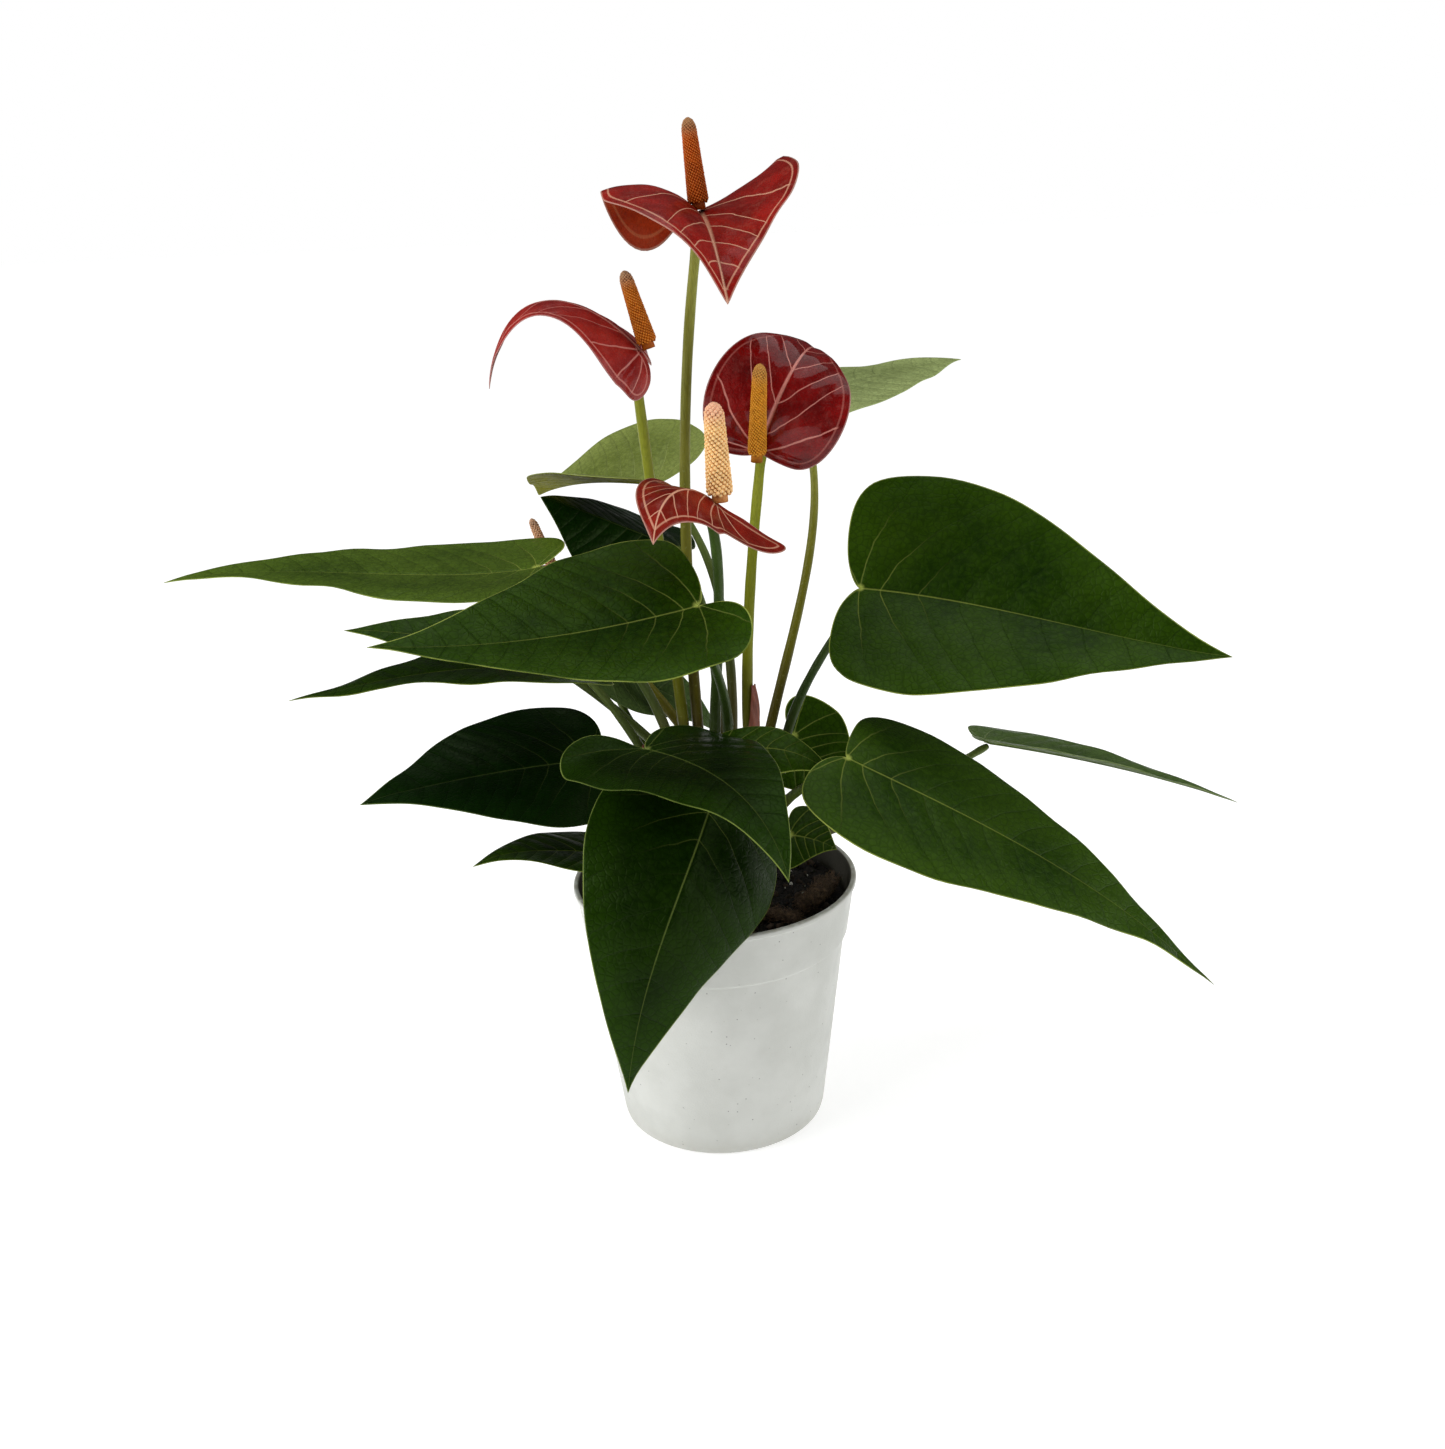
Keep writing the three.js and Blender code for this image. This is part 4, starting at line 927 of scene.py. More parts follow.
def florets_graph():
    inputs = {
        "Florets": (COUNT, 500), "Length": (FLOAT, 0.03), "Foot Radius": (FLOAT, 0.0038),
        "Tip Radius": (FLOAT, 0.0024), "Floret Size": (FLOAT, 0.0006), "Seed": (COUNT, 3),
        "Finish": ("NodeSocketMaterial", None),
    }
    full = {"Geometry": ("NodeSocketGeometry", None), **inputs}
    tree, g, given, out = new_group("Florets", "GeometryNodeTree", full, {"Geometry": "NodeSocketGeometry"})
    index = g.node("GeometryNodeInputIndex").outputs[0]
    share = g.math("DIVIDE", g.math("ADD", index, 0.5), given["Florets"])
    angle = g.math("MULTIPLY", index, GOLDEN_ANGLE)
    cap = g.math("MULTIPLY", g.math("SUBTRACT", share, SHOULDER), math.pi / 2 / (1 - SHOULDER))
    cap = g.math("MAXIMUM", cap, 0.0)
    height = g.math("ADD", g.math("MINIMUM", share, SHOULDER), g.math("MULTIPLY", g.math("SINE", cap), 0.13))
    height = g.math("MULTIPLY", height, given["Length"])
    narrowing = g.math("SUBTRACT", given["Tip Radius"], given["Foot Radius"])
    radius = g.math("ADD", given["Foot Radius"], g.math("MULTIPLY", narrowing, share))
    round_foot = g.step(share, 0.0, 0.035, 0.82, 1.0)
    radius = g.math("MULTIPLY", g.math("MULTIPLY", radius, g.math("COSINE", cap)), round_foot)
    sideways = {0: g.math("MULTIPLY", radius, g.math("COSINE", angle)),
                1: g.math("MULTIPLY", radius, g.math("SINE", angle)), 2: height}
    place = g.node("ShaderNodeCombineXYZ", None, sideways).outputs[0]
    facing = {0: g.math("MULTIPLY", g.math("COSINE", angle), g.math("COSINE", cap)),
              1: g.math("MULTIPLY", g.math("SINE", angle), g.math("COSINE", cap)), 2: g.math("SINE", cap)}
    looks = g.node("ShaderNodeCombineXYZ", None, facing).outputs[0]
    points = g.node("GeometryNodePoints", None, {"Count": given["Florets"], "Position": place}).outputs[0]
    bead = g.node("GeometryNodeMeshIcoSphere", None, {"Radius": 1.0, "Subdivisions": 2}).outputs[0]
    point = g.node("GeometryNodeInputPosition").outputs[0]
    local = g.node("ShaderNodeSeparateXYZ", None, {0: point}).outputs[2]
    bead = g.node("GeometryNodeStoreNamedAttribute", {"data_type": "FLOAT", "domain": "POINT"},
                  {"Geometry": bead, "Name": "crown", "Value": local}).outputs[0]
    turn = g.node("FunctionNodeAlignRotationToVector", {"axis": "Z"}, {"Vector": looks}).outputs[0]
    wide = g.node("FunctionNodeRandomValue", {"data_type": "FLOAT"},
                  {2: 0.86, 3: 1.12, "Seed": given["Seed"]}).outputs[1]
    wide = g.math("MULTIPLY", wide, given["Floret Size"])
    scale = g.node("ShaderNodeCombineXYZ", None, {0: wide, 1: wide, 2: wide}).outputs[0]
    stood = g.node("GeometryNodeInstanceOnPoints", None,
                   {"Points": points, "Instance": bead, "Rotation": turn, "Scale": scale}).outputs[0]
    joined = g.node("GeometryNodeJoinGeometry")
    tree.links.new(stood, joined.inputs[0])
    tree.links.new(given["Geometry"], joined.inputs[0])
    real = g.node("GeometryNodeRealizeInstances", None, {"Geometry": joined.outputs[0]}).outputs[0]
    done = g.node("GeometryNodeSetMaterial", None, {"Geometry": real, "Material": given["Finish"]}).outputs[0]
    tree.links.new(done, out[0])
    return tree


def grown(host, tree, values):
    """Runs a geometry graph on an object and returns the result as a plain mesh."""
    modifier = host.modifiers.new("grow", "NODES")
    modifier.node_group = tree
    for item in tree.interface.items_tree:
        if item.in_out == "INPUT" and item.name in values:
            modifier[item.identifier] = values[item.name]
    bpy.context.view_layer.update()
    evaluated = host.evaluated_get(bpy.context.evaluated_depsgraph_get())
    mesh = bpy.data.meshes.new_from_object(evaluated)
    host.modifiers.remove(modifier)
    return mesh


FLORETS = florets_graph()
print("graph", FLORETS.name)


# %% Finish: spadices
def spadix_finish(name, crevice_shade, floret, crown, tip, speckle=0.8):
    """Painted shade between the florets, their own colour on them, a paler dot on each crown."""
    made, g, shader = new_finish(name)
    crowned = g.value("crown")
    along = g.value("along")
    place = g.place()
    # painted shade: the lower side of each floret, down in the crevices between florets, takes the darker
    # first colour
    colour = g.mix(g.step(crowned, 0.1, 0.62), shade(crevice_shade), shade(floret))
    cloud = g.step(g.noise(place, 220.0, 3.0), 0.35, 0.7)
    colour = g.tint(colour, cloud, 0.4, [c * 1.4 for c in floret])
    colour = g.tint(colour, g.step(crowned, 0.86, 0.97), speckle, crown)
    colour = g.tint(colour, g.step(along, 0.72, 0.98), 0.75, tip)
    wire(shader, colour, 0.5, g.bump(g.noise(place, 2500.0, 2.0), 0.25, 0.0002))
    shader.inputs["Specular IOR Level"].default_value = 0.12
    shader.inputs["Subsurface Weight"].default_value = 0.12
    shader.inputs["Subsurface Radius"].default_value = (0.0012, 0.0006, 0.0003)
    return made


# The first colour of each spadix is the painted shade in the crevices between its florets.
SPADIX_LOOKS = {
    "flower_1": spadix_finish("spadix, orange", (0.150, 0.022, 0.001), (0.360, 0.058, 0.001),
                              (0.500, 0.240, 0.060), (0.300, 0.190, 0.090)),
    "flower_2": spadix_finish("spadix, amber", (0.180, 0.035, 0.001), (0.400, 0.100, 0.003),
                              (0.540, 0.290, 0.070), (0.300, 0.210, 0.130)),
    "flower_3": spadix_finish("spadix, mustard", (0.220, 0.065, 0.003), (0.500, 0.200, 0.010),
                              (0.620, 0.350, 0.070), (0.420, 0.220, 0.060)),
    "flower_4": spadix_finish("spadix, cream", (0.400, 0.140, 0.035), (0.740, 0.460, 0.190),
                              (0.880, 0.700, 0.430), (0.760, 0.400, 0.280)),
    "flower_5": spadix_finish("spadix, pinkish", (0.300, 0.120, 0.050), (0.520, 0.280, 0.150),
                              (0.660, 0.440, 0.280), (0.450, 0.280, 0.180)),
}


# %% Make the spadices
def finger_radius(t, foot, tip):
    """The finger's radius from below its foot, where it narrows to a short stem, to its round tip."""
    taper = foot + (tip - foot) * t
    cap = np.clip((t - SHOULDER) / (1 - SHOULDER), 0, 1)
    stem = np.where(t < 0.03, 0.72 + 0.28 * np.sin(np.clip(t / 0.03, 0, 1) * math.pi / 2), 1)
    return taper * np.maximum(0.12, np.sqrt(1 - cap**2)) * stem


def spadix_piece(flower, floret_size):
    spec = flower["spadix"]
    rib = Rib(flower)
    at, _, up = [v[0] for v in rib.place(1)]
    lean = unit(spec["lean"])
    tilt = math.sqrt(max(0, 1 - lean.dot(up) ** 2))
    foot_radius, tip_radius = spec["radius"]
    rise = 0.8 * math.sin(math.radians(max(*flower["fold"], 0))) * foot_radius
    foot = at + up * (HALF_BLADE + SEAT_GAP + foot_radius * tilt + rise - spec.get("sink", 0))
    # the finger grows upright at the origin, and then turns to its lean and moves to its foot
    t = np.concatenate([[-0.09, -0.04, -0.01], np.linspace(0, 1, 46)])
    inner = finger_radius(t, foot_radius, tip_radius) - floret_size * 0.55
    path = np.stack([0 * t, 0 * t, t * spec["length"] * 0.985], 1)
    points, faces = tube_points(path, np.maximum(inner, 0.15), 24)
    look = SPADIX_LOOKS[flower["name"]]
    host = new_piece("host", points, faces, [look])
    area = spec["length"] * 2 * math.pi * (foot_radius + tip_radius) / 2
    count = int(area / (floret_size**2 * 2.9))
    shrink = floret_size * 0.5
    mesh = grown(host, FLORETS, {
        "Florets": count, "Length": spec["length"] * MM, "Floret Size": floret_size * MM,
        "Foot Radius": (foot_radius - shrink) * MM, "Tip Radius": (tip_radius - shrink) * MM,
        "Seed": 3, "Finish": look})
    bpy.data.objects.remove(host)
    heights = np.empty(len(mesh.vertices) * 3)
    mesh.vertices.foreach_get("co", heights)
    set_value(mesh, "along", heights[2::3] / (spec["length"] * MM))
    turn = Vector((0, 0, 1)).rotation_difference(Vector(lean)).to_matrix().to_4x4()
    mesh.transform(Matrix.Translation(Vector(foot * MM)) @ turn)
    made = new_object(flower["name"] + "_spadix_fine", mesh)
    print(made.name, "florets", count, "faces", len(mesh.polygons))
    return made


FLORET_SIZE = {"flower_1": 0.5, "flower_2": 0.5, "flower_3": 0.5, "flower_4": 0.78, "flower_5": 0.6}
for flower in FLOWERS:
    pale = flower["name"] in ("flower_4", "flower_5")
    adopt(spadix_piece(flower, FLORET_SIZE[flower["name"]]), "pale_spadix" if pale else "spadix",
          flower["name"] + "_spadix")

# %% [markdown]
# ## Shoots and sheaths
# Under the stalks are three short stems, brown and rough, ringed by the scars of old leaves. Two stalks
# still carry a dry red-brown sheath, a thin trough of papery tissue with fibres along it.

# %% Finish: bark and paper
def rough_finish(name, dark, light, scale, stretch=(1, 1, 1), roughness=0.85, relief=0.8, depth=0.0008,
                 speck=None):
    """A dull finish: two tones in clouds and streaks, fine grain, and pale specks where they are wanted."""
    made, g, shader = new_finish(name)
    place = g.place()
    drawn = g.node("ShaderNodeMapping", None, {"Vector": place, "Scale": stretch}).outputs[0]
    streak = g.step(g.noise(drawn, scale, 4.0, 0.65), 0.3, 0.72)
    cloud = g.step(g.noise(place, scale * 0.2, 3.0), 0.3, 0.7)
    colour = g.mix(streak, shade(dark), shade(light))
    colour = g.tint(colour, cloud, 0.4, [c * 0.5 for c in dark])
    if speck:
        dots = g.step(g.noise(place, scale * 3, 1.0), 0.68, 0.74)
        colour = g.tint(colour, dots, 0.6, speck)
    height = g.math("ADD", streak, g.math("MULTIPLY", g.noise(place, scale * 3, 3.0), 0.6))
    wire(shader, colour, roughness, g.bump(height, relief, depth))
    return made


BARK = rough_finish("shoot bark", (0.060, 0.030, 0.010), (0.190, 0.110, 0.040), 300.0, (1, 1, 0.4))
PAPER = rough_finish("dry sheath", (0.140, 0.022, 0.008), (0.300, 0.080, 0.028), 700.0, (1, 1, 0.08),
                     roughness=0.55, relief=0.5, depth=0.0004)
print("dull finishes:", BARK.name, PAPER.name)

# %% Make the shoots
for name, shoot in SHOOTS.items():
    heights = np.linspace(-26, shoot["head"][2], 90)
    path = np.array([shoot_axis(shoot, h) for h in heights])
    size = np.array([shoot_radius(shoot, h) for h in heights])
    scars = 0.035 * np.cos(heights * 2 * math.pi / 7.0) ** 8
    points, faces = tube_points(path, size * (1 + scars), 28)
    bumps = np.array([noise.fractal(Vector(p / 3.5), 1.0, 2.0, 3) for p in points])
    centres = np.repeat(path, 28, axis=0)
    points = centres + (points - centres) * (1 + 0.07 * bumps[:, None])
    crown = np.repeat(np.clip((heights - shoot["head"][2] + 3) / 3, 0, 1), 28)
    points = centres + (points - centres) * (1 - 0.45 * crown[:, None] ** 2)
    adopt(new_piece("shoot_" + name + "_fine", points, faces, [BARK]), "shoot", "shoot_" + name)
print("shoots:", len(SHOOTS))


# %% Make the sheaths
def sheath_piece(name, spec, radii, span, radius):
    guides = stalk_guides(spec, radii)
    rows, columns, wide_open = 40, 26, math.radians(75)
    shares, _ = even_shares(guides, 400)
    i = np.linspace(span[0] * 400, span[1] * 400, rows + 1)
    t = np.interp(i, np.arange(401), shares)
    centres, tangents = bezier(guides, t), unit(bezier_slope(guides, t))
    points = []
    for k in range(rows + 1):
        share = k / rows
        side = np.array([1, -0.6, 0.0])
        side = unit(side - tangents[k] * side.dot(tangents[k]))
        other = np.cross(tangents[k], side)
        swell = radius + 1.6 * math.sin(math.pi * share)
        narrow = wide_open * (1 - 0.6 * share)
        angles = np.linspace(-narrow, narrow, columns + 1)
        flutter = 0.25 * np.sin(angles * 9 + k * 0.35) * share
        out = np.cos(angles)[:, None] * side + np.sin(angles)[:, None] * other
        points.append(centres[k] + out * (swell + flutter)[:, None])
    points = np.concatenate(points)
    width = columns + 1
    faces = [(a, a + 1, a + width + 1, a + width)
             for r in range(rows) for a in range(r * width, r * width + columns)]
    normals = point_normals(points, faces)
    loop = [*range(columns)] + [r * width + columns for r in range(rows)]
    loop += [rows * width + c for c in range(columns, 0, -1)] + [r * width for r in range(rows, 0, -1)]
    count = len(points)
    walls = [(b, a, count + a, count + b) for a, b in zip(loop, loop[1:] + loop[:1])]
    both = np.concatenate([points + normals * 0.22, points - normals * 0.22])
    under = [tuple(count + v for v in reversed(f)) for f in faces]
    return new_piece(name, both, faces + under + walls, [PAPER])


leaf_07 = next(leaf for leaf in LEAVES if leaf["name"] == "leaf_07")
flower_3 = next(flower for flower in FLOWERS if flower["name"] == "flower_3")
adopt(sheath_piece("sheath_left_fine", leaf_07, PETIOLE_RADIUS, (0.18, 0.5), 3.2), "sheath", "sheath_left")
adopt(sheath_piece("sheath_right_fine", flower_3, PEDUNCLE_RADIUS, (0.06, 0.26), 3.2), "sheath",
      "sheath_right")
print("sheaths made")

# %% [markdown]
# ## Soil
# The soil is near-black peat with crumbs, short fibres and white perlite on it. Its body is one closed mesh
# with an uneven top. The crumbs and the perlite are scattered on the top by a geometry graph: it picks
# seeded random points on a surface and puts a small lump there, squeezed and turned at random.

# %% Geometry: scattered lumps
def scatter_graph():
    inputs = {
        "Density": (FLOAT, 100000.0), "Smallest": (FLOAT, 0.0006), "Largest": (FLOAT, 0.002),
        "Flatness": (FLOAT, 0.7), "Roughness": (FLOAT, 0.5), "Seed": (COUNT, 1),
        "Finish": ("NodeSocketMaterial", None),
    }
    full = {"Geometry": ("NodeSocketGeometry", None), **inputs}
    tree, g, given, out = new_group("Scatter", "GeometryNodeTree", full, {"Geometry": "NodeSocketGeometry"})
    points = g.node("GeometryNodeDistributePointsOnFaces", {"distribute_method": "RANDOM"},
                    {"Mesh": given["Geometry"], "Density": given["Density"], "Seed": given["Seed"]})
    lump = g.node("GeometryNodeMeshIcoSphere", None, {"Radius": 1.0, "Subdivisions": 2}).outputs[0]
    where = g.node("GeometryNodeInputPosition").outputs[0]
    dent = g.node("ShaderNodeTexNoise", None, {"Vector": where, "Scale": 1.4, "Detail": 2.0}).outputs[1]
    centred = g.node("ShaderNodeVectorMath", {"operation": "SUBTRACT"}, {0: dent, 1: (0.5, 0.5, 0.5)})
    pushed = g.node("ShaderNodeVectorMath", {"operation": "SCALE"},
                    {0: centred.outputs[0], "Scale": g.math("MULTIPLY", given["Roughness"], 3.0)}).outputs[0]
    lump = g.node("GeometryNodeSetPosition", None, {"Geometry": lump, "Offset": pushed}).outputs[0]
    turn = g.node("FunctionNodeRandomValue", {"data_type": "FLOAT_VECTOR"},
                  {0: (0, 0, 0), 1: (6.3, 6.3, 6.3), "Seed": given["Seed"]}).outputs[0]
    size = g.node("FunctionNodeRandomValue", {"data_type": "FLOAT"},
                  {2: 0.0, 3: 1.0, "Seed": g.math("ADD", given["Seed"], 7)}).outputs[1]
    size = g.math("POWER", size, 2.5)
    span = g.math("SUBTRACT", given["Largest"], given["Smallest"])
    size = g.math("ADD", given["Smallest"], g.math("MULTIPLY", size, span))
    squeezed = {0: size, 1: g.math("MULTIPLY", size, 0.8), 2: g.math("MULTIPLY", size, given["Flatness"])}
    scale = g.node("ShaderNodeCombineXYZ", None, squeezed).outputs[0]
    laid = g.node("GeometryNodeInstanceOnPoints", None, {
        "Points": points.outputs[0], "Instance": lump, "Rotation": turn, "Scale": scale}).outputs[0]
    tone = g.node("FunctionNodeRandomValue", {"data_type": "FLOAT"},
                  {2: 0.0, 3: 1.0, "Seed": g.math("ADD", given["Seed"], 13)}).outputs[1]
    toned = g.node("GeometryNodeStoreNamedAttribute", {"data_type": "FLOAT", "domain": "INSTANCE"},
                   {"Geometry": laid, "Name": "tone", "Value": tone}).outputs[0]
    real = g.node("GeometryNodeRealizeInstances", None, {"Geometry": toned}).outputs[0]
    done = g.node("GeometryNodeSetMaterial", None, {"Geometry": real, "Material": given["Finish"]}).outputs[0]
    tree.links.new(done, out[0])
    return tree


SCATTER = scatter_graph()
SOIL = rough_finish("peat", (0.0035, 0.0030, 0.0022), (0.020, 0.013, 0.008), 420.0, roughness=0.95,
                    relief=1.0, depth=0.0012)
PERLITE = rough_finish("perlite", (0.42, 0.40, 0.35), (0.78, 0.76, 0.70), 900.0, roughness=0.8, relief=0.6,
                       depth=0.0004)


def crumb_finish():
    """Peat crumbs: each has its own tone between black and brown."""
    made, g, shader = new_finish("peat crumbs")
    tone = g.value("tone")
    place = g.place()
    colour = g.mix(g.step(tone, 0.3, 1.0), shade((0.004, 0.003, 0.002)), shade((0.050, 0.028, 0.013)))
    colour = g.tint(colour, g.noise(place, 1500.0, 3.0), 0.5, (0.002, 0.002, 0.001))
    wire(shader, colour, 0.9, g.bump(g.noise(place, 1800.0, 3.0), 0.8, 0.0005))
    return made


CRUMBS = crumb_finish()
print("graph", SCATTER.name)


# %% Make the soil
def soil_height(x, y):
    """The top of the soil, a low mound."""
    share = np.minimum(1, np.hypot(x, y) / POT_MOUTH)
    return SOIL_TOP + 3 * (1 - share**2)


def lumpy_height(x, y):
    lumps = np.array([noise.fractal(Vector((a / 7, b / 7, 2)), 0.9, 2.1, 4) for a, b in zip(x, y)])
    return soil_height(x, y) + lumps * 1.3


def level_ring(radius, height, turn):
    """Points round the pot's axis at one height."""
    return np.stack([radius * np.cos(turn), radius * np.sin(turn), 0 * turn + height], 1).tolist()


def soil_piece():
    """A closed body: a lumpy top, a smooth side and a flat foot."""
    inset = POT_WALL + SOIL_GAP
    edge = STEP_RADIUS + STEP_LEDGE - inset
    sides, rings = 150, 52
    turn = np.linspace(0, 2 * math.pi, sides, endpoint=False)
    points = [[0, 0, soil_height(0, 0)]]
    for k in range(1, rings + 1):
        r = edge * k / rings
        x, y = r * np.cos(turn), r * np.sin(turn)
        points += np.stack([x, y, lumpy_height(x, y) - 0.6 * (k == rings)], 1).tolist()
    for r, z in [(STEP_RADIUS - inset, STEP_HEIGHT - 1.0), (POT_FOOT - inset, 3.8), (POT_FOOT - 3.9, 1.5)]:
        points += level_ring(r, z, turn)
    points.append([0, 0, 1.5])
    j = np.arange(sides)
    after = (j + 1) % sides
    faces = np.stack([0 * j, 1 + j, 1 + after], 1).tolist()
    for k in range(rings + 2):
        a, b = 1 + k * sides + j, 1 + k * sides + after
        faces += np.stack([a, a + sides, b + sides, b], 1).tolist()
    last = 1 + (rings + 2) * sides
    faces += np.stack([last + j, 0 * j + last + sides, last + after], 1).tolist()
    return new_piece("soil_fine", points, faces, [SOIL])


def soil_patch(inner, outer):
    """The part of the soil's top that lumps may lie on, as an open sheet used only for scattering."""
    sides, rings = 60, 16
    turn = np.linspace(0, 2 * math.pi, sides, endpoint=False)
    points = []
    for r in np.linspace(inner, outer, rings):
        x, y = r * np.cos(turn), r * np.sin(turn)
        points += np.stack([x, y, lumpy_height(x, y)], 1).tolist()
    j = np.arange(sides)
    faces = []
    for k in range(rings - 1):
        a, b = k * sides + j, k * sides + (j + 1) % sides
        faces += np.stack([a, a + sides, b + sides, b], 1).tolist()
    return new_piece("patch", points, faces, [])


def scattered(name, finish, finish_slot, patch, values):
    """Lumps of one finish, strewn over the soil by the scatter graph."""
    host = soil_patch(*patch)
    mesh = grown(host, SCATTER, {"Finish": finish, **values})
    bpy.data.objects.remove(host)
    print(name, "faces", len(mesh.polygons))
    return adopt(new_object(name, mesh), finish_slot)


adopt(soil_piece(), "growing_medium", "growing_medium")
scattered("soil_crumbs", CRUMBS, "growing_medium", (2, 52), {
    "Density": 150000.0, "Smallest": 0.0004, "Largest": 0.0024, "Seed": 4, "Roughness": 0.5})
scattered("soil_perlite", PERLITE, "growing_medium", (2, 52), {
    "Density": 5000.0, "Smallest": 0.0004, "Largest": 0.0012, "Seed": 9, "Roughness": 0.4})

# %% [markdown]
# Two chunks of coconut husk lie at the front right. Husk is a mat of stiff fibres, so each chunk is a
# bumpy core with several hundred thin fibres laid along it by a geometry graph that reads the grain's
# direction from the core.

# %% Geometry: fibres along a chunk
def fibre_graph():
    inputs = {
        "Density": (FLOAT, 400000.0), "Fibre Length": (FLOAT, 0.006), "Fibre Radius": (FLOAT, 0.00012),
        "Scatter": (FLOAT, 0.35), "Seed": (COUNT, 2), "Finish": ("NodeSocketMaterial", None),
    }
    full = {"Geometry": ("NodeSocketGeometry", None), **inputs}
    tree, g, given, out = new_group("Fibres", "GeometryNodeTree", full, {"Geometry": "NodeSocketGeometry"})
    points = g.node("GeometryNodeDistributePointsOnFaces", {"distribute_method": "RANDOM"},
                    {"Mesh": given["Geometry"], "Density": given["Density"], "Seed": given["Seed"]})
    fibre = g.node("GeometryNodeMeshCylinder", {"fill_type": "NGON"},
                   {"Vertices": 5, "Side Segments": 3, "Radius": 1.0, "Depth": 1.0}).outputs[0]
    grain = g.node("GeometryNodeInputNamedAttribute", {"data_type": "FLOAT_VECTOR"}, {"Name": "grain"})
    stray = g.node("FunctionNodeRandomValue", {"data_type": "FLOAT_VECTOR"},
                   {0: (-1, -1, -1), 1: (1, 1, 1), "Seed": given["Seed"]}).outputs[0]
    stray = g.node("ShaderNodeVectorMath", {"operation": "SCALE"}, {0: stray, "Scale": given["Scatter"]})
    ahead = g.node("ShaderNodeVectorMath", {"operation": "ADD"}, {0: grain.outputs[0], 1: stray.outputs[0]})
    turn = g.node("FunctionNodeAlignRotationToVector", {"axis": "Z"}, {"Vector": ahead.outputs[0]}).outputs[0]
    size = g.node("FunctionNodeRandomValue", {"data_type": "FLOAT"},
                  {2: 0.5, 3: 1.3, "Seed": g.math("ADD", given["Seed"], 5)}).outputs[1]
    scale = g.node("ShaderNodeCombineXYZ", None, {
        0: given["Fibre Radius"], 1: given["Fibre Radius"],
        2: g.math("MULTIPLY", size, given["Fibre Length"])}).outputs[0]
    laid = g.node("GeometryNodeInstanceOnPoints", None, {
        "Points": points.outputs[0], "Instance": fibre, "Rotation": turn, "Scale": scale}).outputs[0]
    tone = g.node("GeometryNodeStoreNamedAttribute", {"data_type": "FLOAT", "domain": "INSTANCE"},
                  {"Geometry": laid, "Name": "tone", "Value": size}).outputs[0]
    joined = g.node("GeometryNodeJoinGeometry")
    tree.links.new(tone, joined.inputs[0])
    tree.links.new(given["Geometry"], joined.inputs[0])
    real = g.node("GeometryNodeRealizeInstances", None, {"Geometry": joined.outputs[0]}).outputs[0]
    done = g.node("GeometryNodeSetMaterial", None, {"Geometry": real, "Material": given["Finish"]}).outputs[0]
    tree.links.new(done, out[0])
    return tree


FIBRES = fibre_graph()
HUSK = rough_finish("coconut husk", (0.030, 0.016, 0.007), (0.150, 0.088, 0.042), 650.0, roughness=0.9,
                    relief=0.8, depth=0.0005, speck=(0.26, 0.19, 0.11))
print("graph", FIBRES.name)

# %% Make the husk chunks
HUSKS = [
    ("husk_long", ((12, -34), (22, -30), (34, -34)), 2.6, 2.9),
    ("husk_block", ((35, -25), (43, -14), (50, 0)), 4.0, 4.3),
]
for name, path, radius, rise in HUSKS:
    a, b, c = [np.array([x, y, soil_height(x, y) + rise + SEAT_GAP]) for x, y in path]
    t = np.linspace(0, 1, 60)[:, None]
    middle = (a * (1 - t) * (1 - 2 * t) + 4 * b * t * (1 - t) + c * t * (2 * t - 1))
    share = t[:, 0]
    size = radius * (0.75 + 0.25 * np.sin(math.pi * share))
    size *= 0.93 * np.clip(np.minimum(share, 1 - share) / 0.06 + 0.35, 0, 1)
    points, faces = tube_points(middle, size, 30)
    centres = np.repeat(middle, 30, axis=0)
    bumps = np.array([noise.fractal(Vector(p / 3.0), 1.0, 2.0, 4) for p in points])
    points = centres + (points - centres) * (1 + 0.22 * bumps[:, None])
    host = new_piece("host", points, faces, [HUSK])
    grain = np.repeat(unit(np.gradient(middle, axis=0)), 30, axis=0)
    host.data.attributes.new("grain", "FLOAT_VECTOR", "POINT").data.foreach_set(
        "vector", grain.astype(np.float32).ravel())
    mesh = grown(host, FIBRES, {"Density": 900000.0, "Fibre Length": 0.007, "Fibre Radius": 0.00011,
                                "Scatter": 0.45, "Seed": 6, "Finish": HUSK})
    bpy.data.objects.remove(host)
    adopt(new_object(name + "_fine", mesh), "husk", name)
    print(name, "faces", len(mesh.polygons))

# %% [markdown]
# ## Pot
# The pot is thin blow-moulded plastic: a tapering wall with a rounded foot, a stacking step, a rolled lip
# and drain holes. A turned profile makes it, with small rounds at every corner, and a Boolean cuts the
# holes. The plastic is off-white with fine dark flecks, a faint orange-peel grain and dust near the foot.

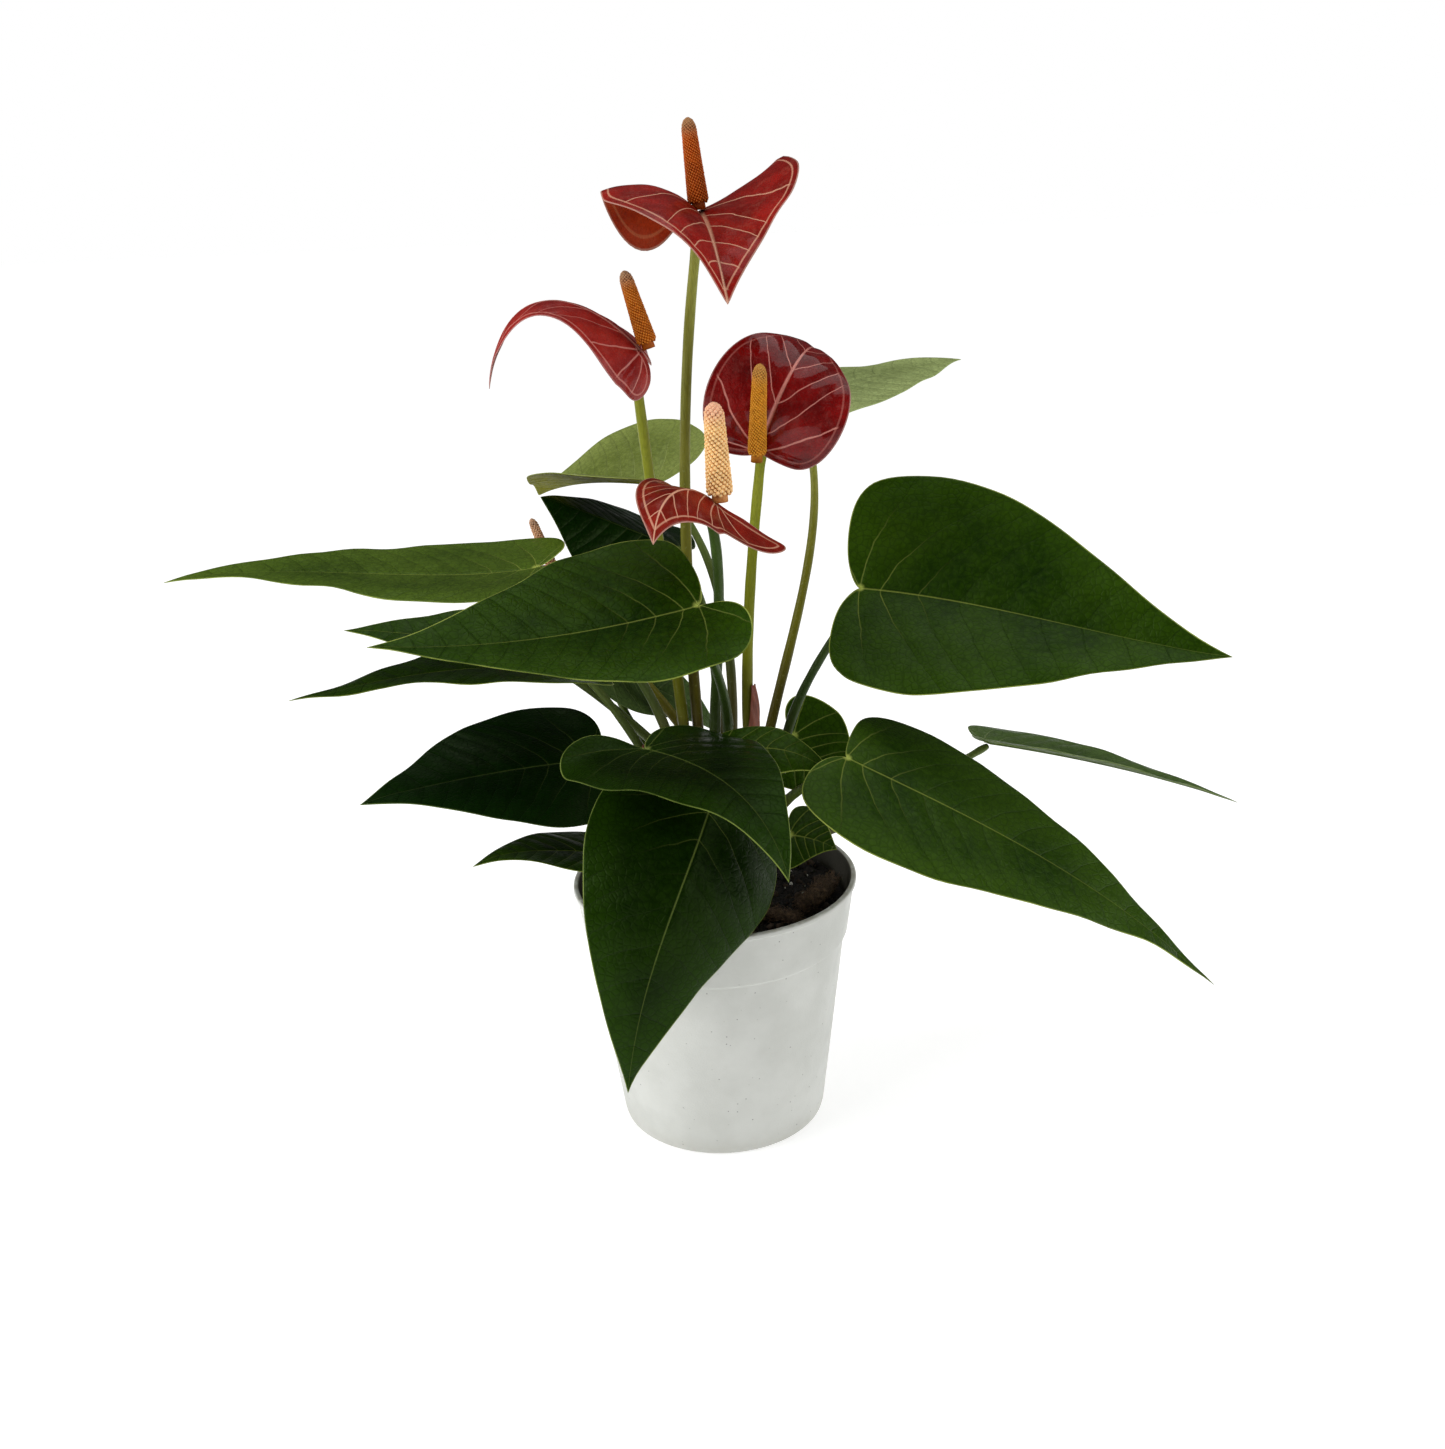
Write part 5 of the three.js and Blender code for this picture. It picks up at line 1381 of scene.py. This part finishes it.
# %% Finish: pot plastic
def pot_finish():
    made, g, shader = new_finish("pot plastic")
    place = g.place()
    height = g.node("ShaderNodeSeparateXYZ", None, {0: place}).outputs[2]
    clouds = g.step(g.noise(place, 30.0, 4.0, 0.6), 0.3, 0.7)
    colour = g.mix(clouds, shade((0.500, 0.510, 0.475)), shade((0.580, 0.590, 0.555)))
    flecks = g.node("ShaderNodeTexVoronoi", None, {"Vector": place, "Scale": 330.0}).outputs["Distance"]
    sparse = g.step(g.noise(place, 200.0, 1.0), 0.5, 0.58)
    fleck = g.math("MULTIPLY", g.step(flecks, 0.05, 0.13, 1.0, 0.0), sparse)
    colour = g.tint(colour, fleck, 0.75, (0.060, 0.060, 0.050))
    dust = g.math("MULTIPLY", g.step(height, 0.0, 0.012, 1.0, 0.0), g.noise(place, 150.0, 3.0))
    colour = g.tint(colour, dust, 0.3, (0.300, 0.270, 0.200))
    across = g.node("ShaderNodeVectorMath", {"operation": "MULTIPLY"}, {0: place, 1: (1, 1, 0)}).outputs[0]
    radius = g.node("ShaderNodeVectorMath", {"operation": "LENGTH"}, {0: across}).outputs["Value"]
    # the collar's wall leans outwards as it rises from the step; what lies within it was wetted and soiled
    risen = g.math("SUBTRACT", height, (STEP_HEIGHT + STEP_LEDGE) * MM)
    wall = g.math("ADD", g.math("MULTIPLY", risen, 0.121), 0.0552)
    inside = g.step(g.math("SUBTRACT", wall, radius), -0.0001, 0.0002)
    inside = g.math("MULTIPLY", inside, g.step(height, 0.0868, 0.0880))
    colour = g.tint(colour, inside, 0.9, (0.035, 0.030, 0.018))
    used = g.math("MULTIPLY", g.step(height, 0.1092, 0.110), g.step(g.noise(place, 200.0, 3.0), 0.35, 0.65))
    colour = g.tint(colour, used, 0.5, (0.250, 0.220, 0.150))
    grain = g.math("ADD", g.noise(place, 1400.0, 2.0), g.math("MULTIPLY", g.noise(place, 90.0, 2.0), 1.5))
    rough = g.step(g.noise(place, 110.0, 3.0), 0.3, 0.7, 0.36, 0.52)
    wire(shader, colour, rough, g.bump(grain, 0.3, 0.0004))
    shader.inputs["Subsurface Weight"].default_value = 0.08
    shader.inputs["Subsurface Radius"].default_value = (0.002, 0.002, 0.0018)
    return made


POT_PLASTIC = pot_finish()
print("finish", POT_PLASTIC.name)


# %% Make the pot
def rounded(profile, radius=0.35, steps=4):
    """A profile whose corners are replaced by short arcs."""
    made, points = [profile[0]], [np.array(p, float) for p in profile]
    for before, corner, after in zip(points, points[1:], points[2:]):
        reach = min(radius, 0.45 * np.linalg.norm(before - corner), 0.45 * np.linalg.norm(after - corner))
        a, b = corner + unit(before - corner) * reach, corner + unit(after - corner) * reach
        for k in range(steps + 1):
            t = k / steps
            made.append(((1 - t) ** 2 * a + 2 * t * (1 - t) * corner + t * t * b).tolist())
    return made + [profile[-1]]


def pot_piece():
    """A turned profile: up the outside, over the lip and down the inside."""
    ledge_top = STEP_HEIGHT + STEP_LEDGE
    outside = [(0, 0), (41, 0), (42.6, 0.25), (43.9, 1.2), (POT_FOOT, 3.5), (STEP_RADIUS, STEP_HEIGHT),
               (STEP_RADIUS + STEP_LEDGE, ledge_top), (59, 107.4), (60, 108), (60, 109.5),
               (59.4, POT_HEIGHT), (58.2, POT_HEIGHT), (POT_MOUTH, 109.4)]
    inside = [(STEP_RADIUS + STEP_LEDGE - POT_WALL, ledge_top), (STEP_RADIUS - POT_WALL, STEP_HEIGHT - 1),
              (POT_FOOT - POT_WALL, 3.5), (41.3, POT_WALL), (0, POT_WALL)]
    profile = np.array(rounded(outside + inside))
    sides = 144
    turn = np.linspace(0, 2 * math.pi, sides, endpoint=False)
    points, faces = [[0, 0, 0]], []
    for r, z in profile[1:-1]:
        points += level_ring(r, z, turn)
    points.append([0, 0, POT_WALL])
    j, rings = np.arange(sides), len(profile) - 2
    after = (j + 1) % sides
    faces += np.stack([0 * j, 1 + after, 1 + j], 1).tolist()
    for k in range(rings - 1):
        a, b = 1 + k * sides + j, 1 + k * sides + after
        faces += np.stack([a, b, b + sides, a + sides], 1).tolist()
    last = 1 + (rings - 1) * sides
    faces += np.stack([last + j, last + after, 0 * j + last + sides], 1).tolist()
    body = new_piece("pot_body", points, faces, [POT_PLASTIC])
    drills, drill_faces = [], []
    for i in range(6):
        angle = i / 6 * 2 * math.pi
        x, y = 30 * math.cos(angle), 30 * math.sin(angle)
        made, faces = tube_points([(x, y, -3), (x, y, 0), (x, y, 4.5)], [4, 4, 4], 24)
        drill_faces += [[v + len(drills) for v in f] for f in faces]
        drills += made.tolist()
    drill = new_piece("drill", drills, drill_faces, [])
    cut = body.modifiers.new("holes", "BOOLEAN")
    cut.object, cut.operation, cut.solver = drill, "DIFFERENCE", "EXACT"
    bpy.context.view_layer.update()
    mesh = bpy.data.meshes.new_from_object(body.evaluated_get(bpy.context.evaluated_depsgraph_get()))
    bpy.data.objects.remove(drill)
    bpy.data.objects.remove(body)
    print("pot faces", len(mesh.polygons))
    return new_object("pot_fine", mesh)


adopt(pot_piece(), "pot", "pot")

# %% [markdown]
# ## Floor
# The pot stands on a wide, plain, pale sheet that glows a little, as a light table does, so that the
# shadows on it are soft and it runs into the white room. It isn't part of the plant.

# %% Floor
floor_mesh = bpy.data.meshes.new("floor")
floor_mesh.from_pydata([(-30, -30, 0), (30, -30, 0), (30, 30, 0), (-30, 30, 0)], [], [(0, 1, 2, 3)])
floor = bpy.data.objects.new("floor", floor_mesh)
bpy.context.scene.collection.objects.link(floor)
paper, g, shader = new_finish("floor paper")
grainy = g.step(g.noise(g.place(), 300.0, 2.0), 0.3, 0.7)
paper.node_tree.links.new(g.mix(grainy, shade((0.62, 0.62, 0.62)), shade((0.66, 0.66, 0.66))),
                          shader.inputs["Base Color"])
shader.inputs["Roughness"].default_value = 0.9
shader.inputs["Specular IOR Level"].default_value = 0.1
shader.inputs["Emission Color"].default_value = (1, 1, 1, 1)
shader.inputs["Emission Strength"].default_value = 0.56
floor_mesh.materials.append(paper)
print("floor laid")
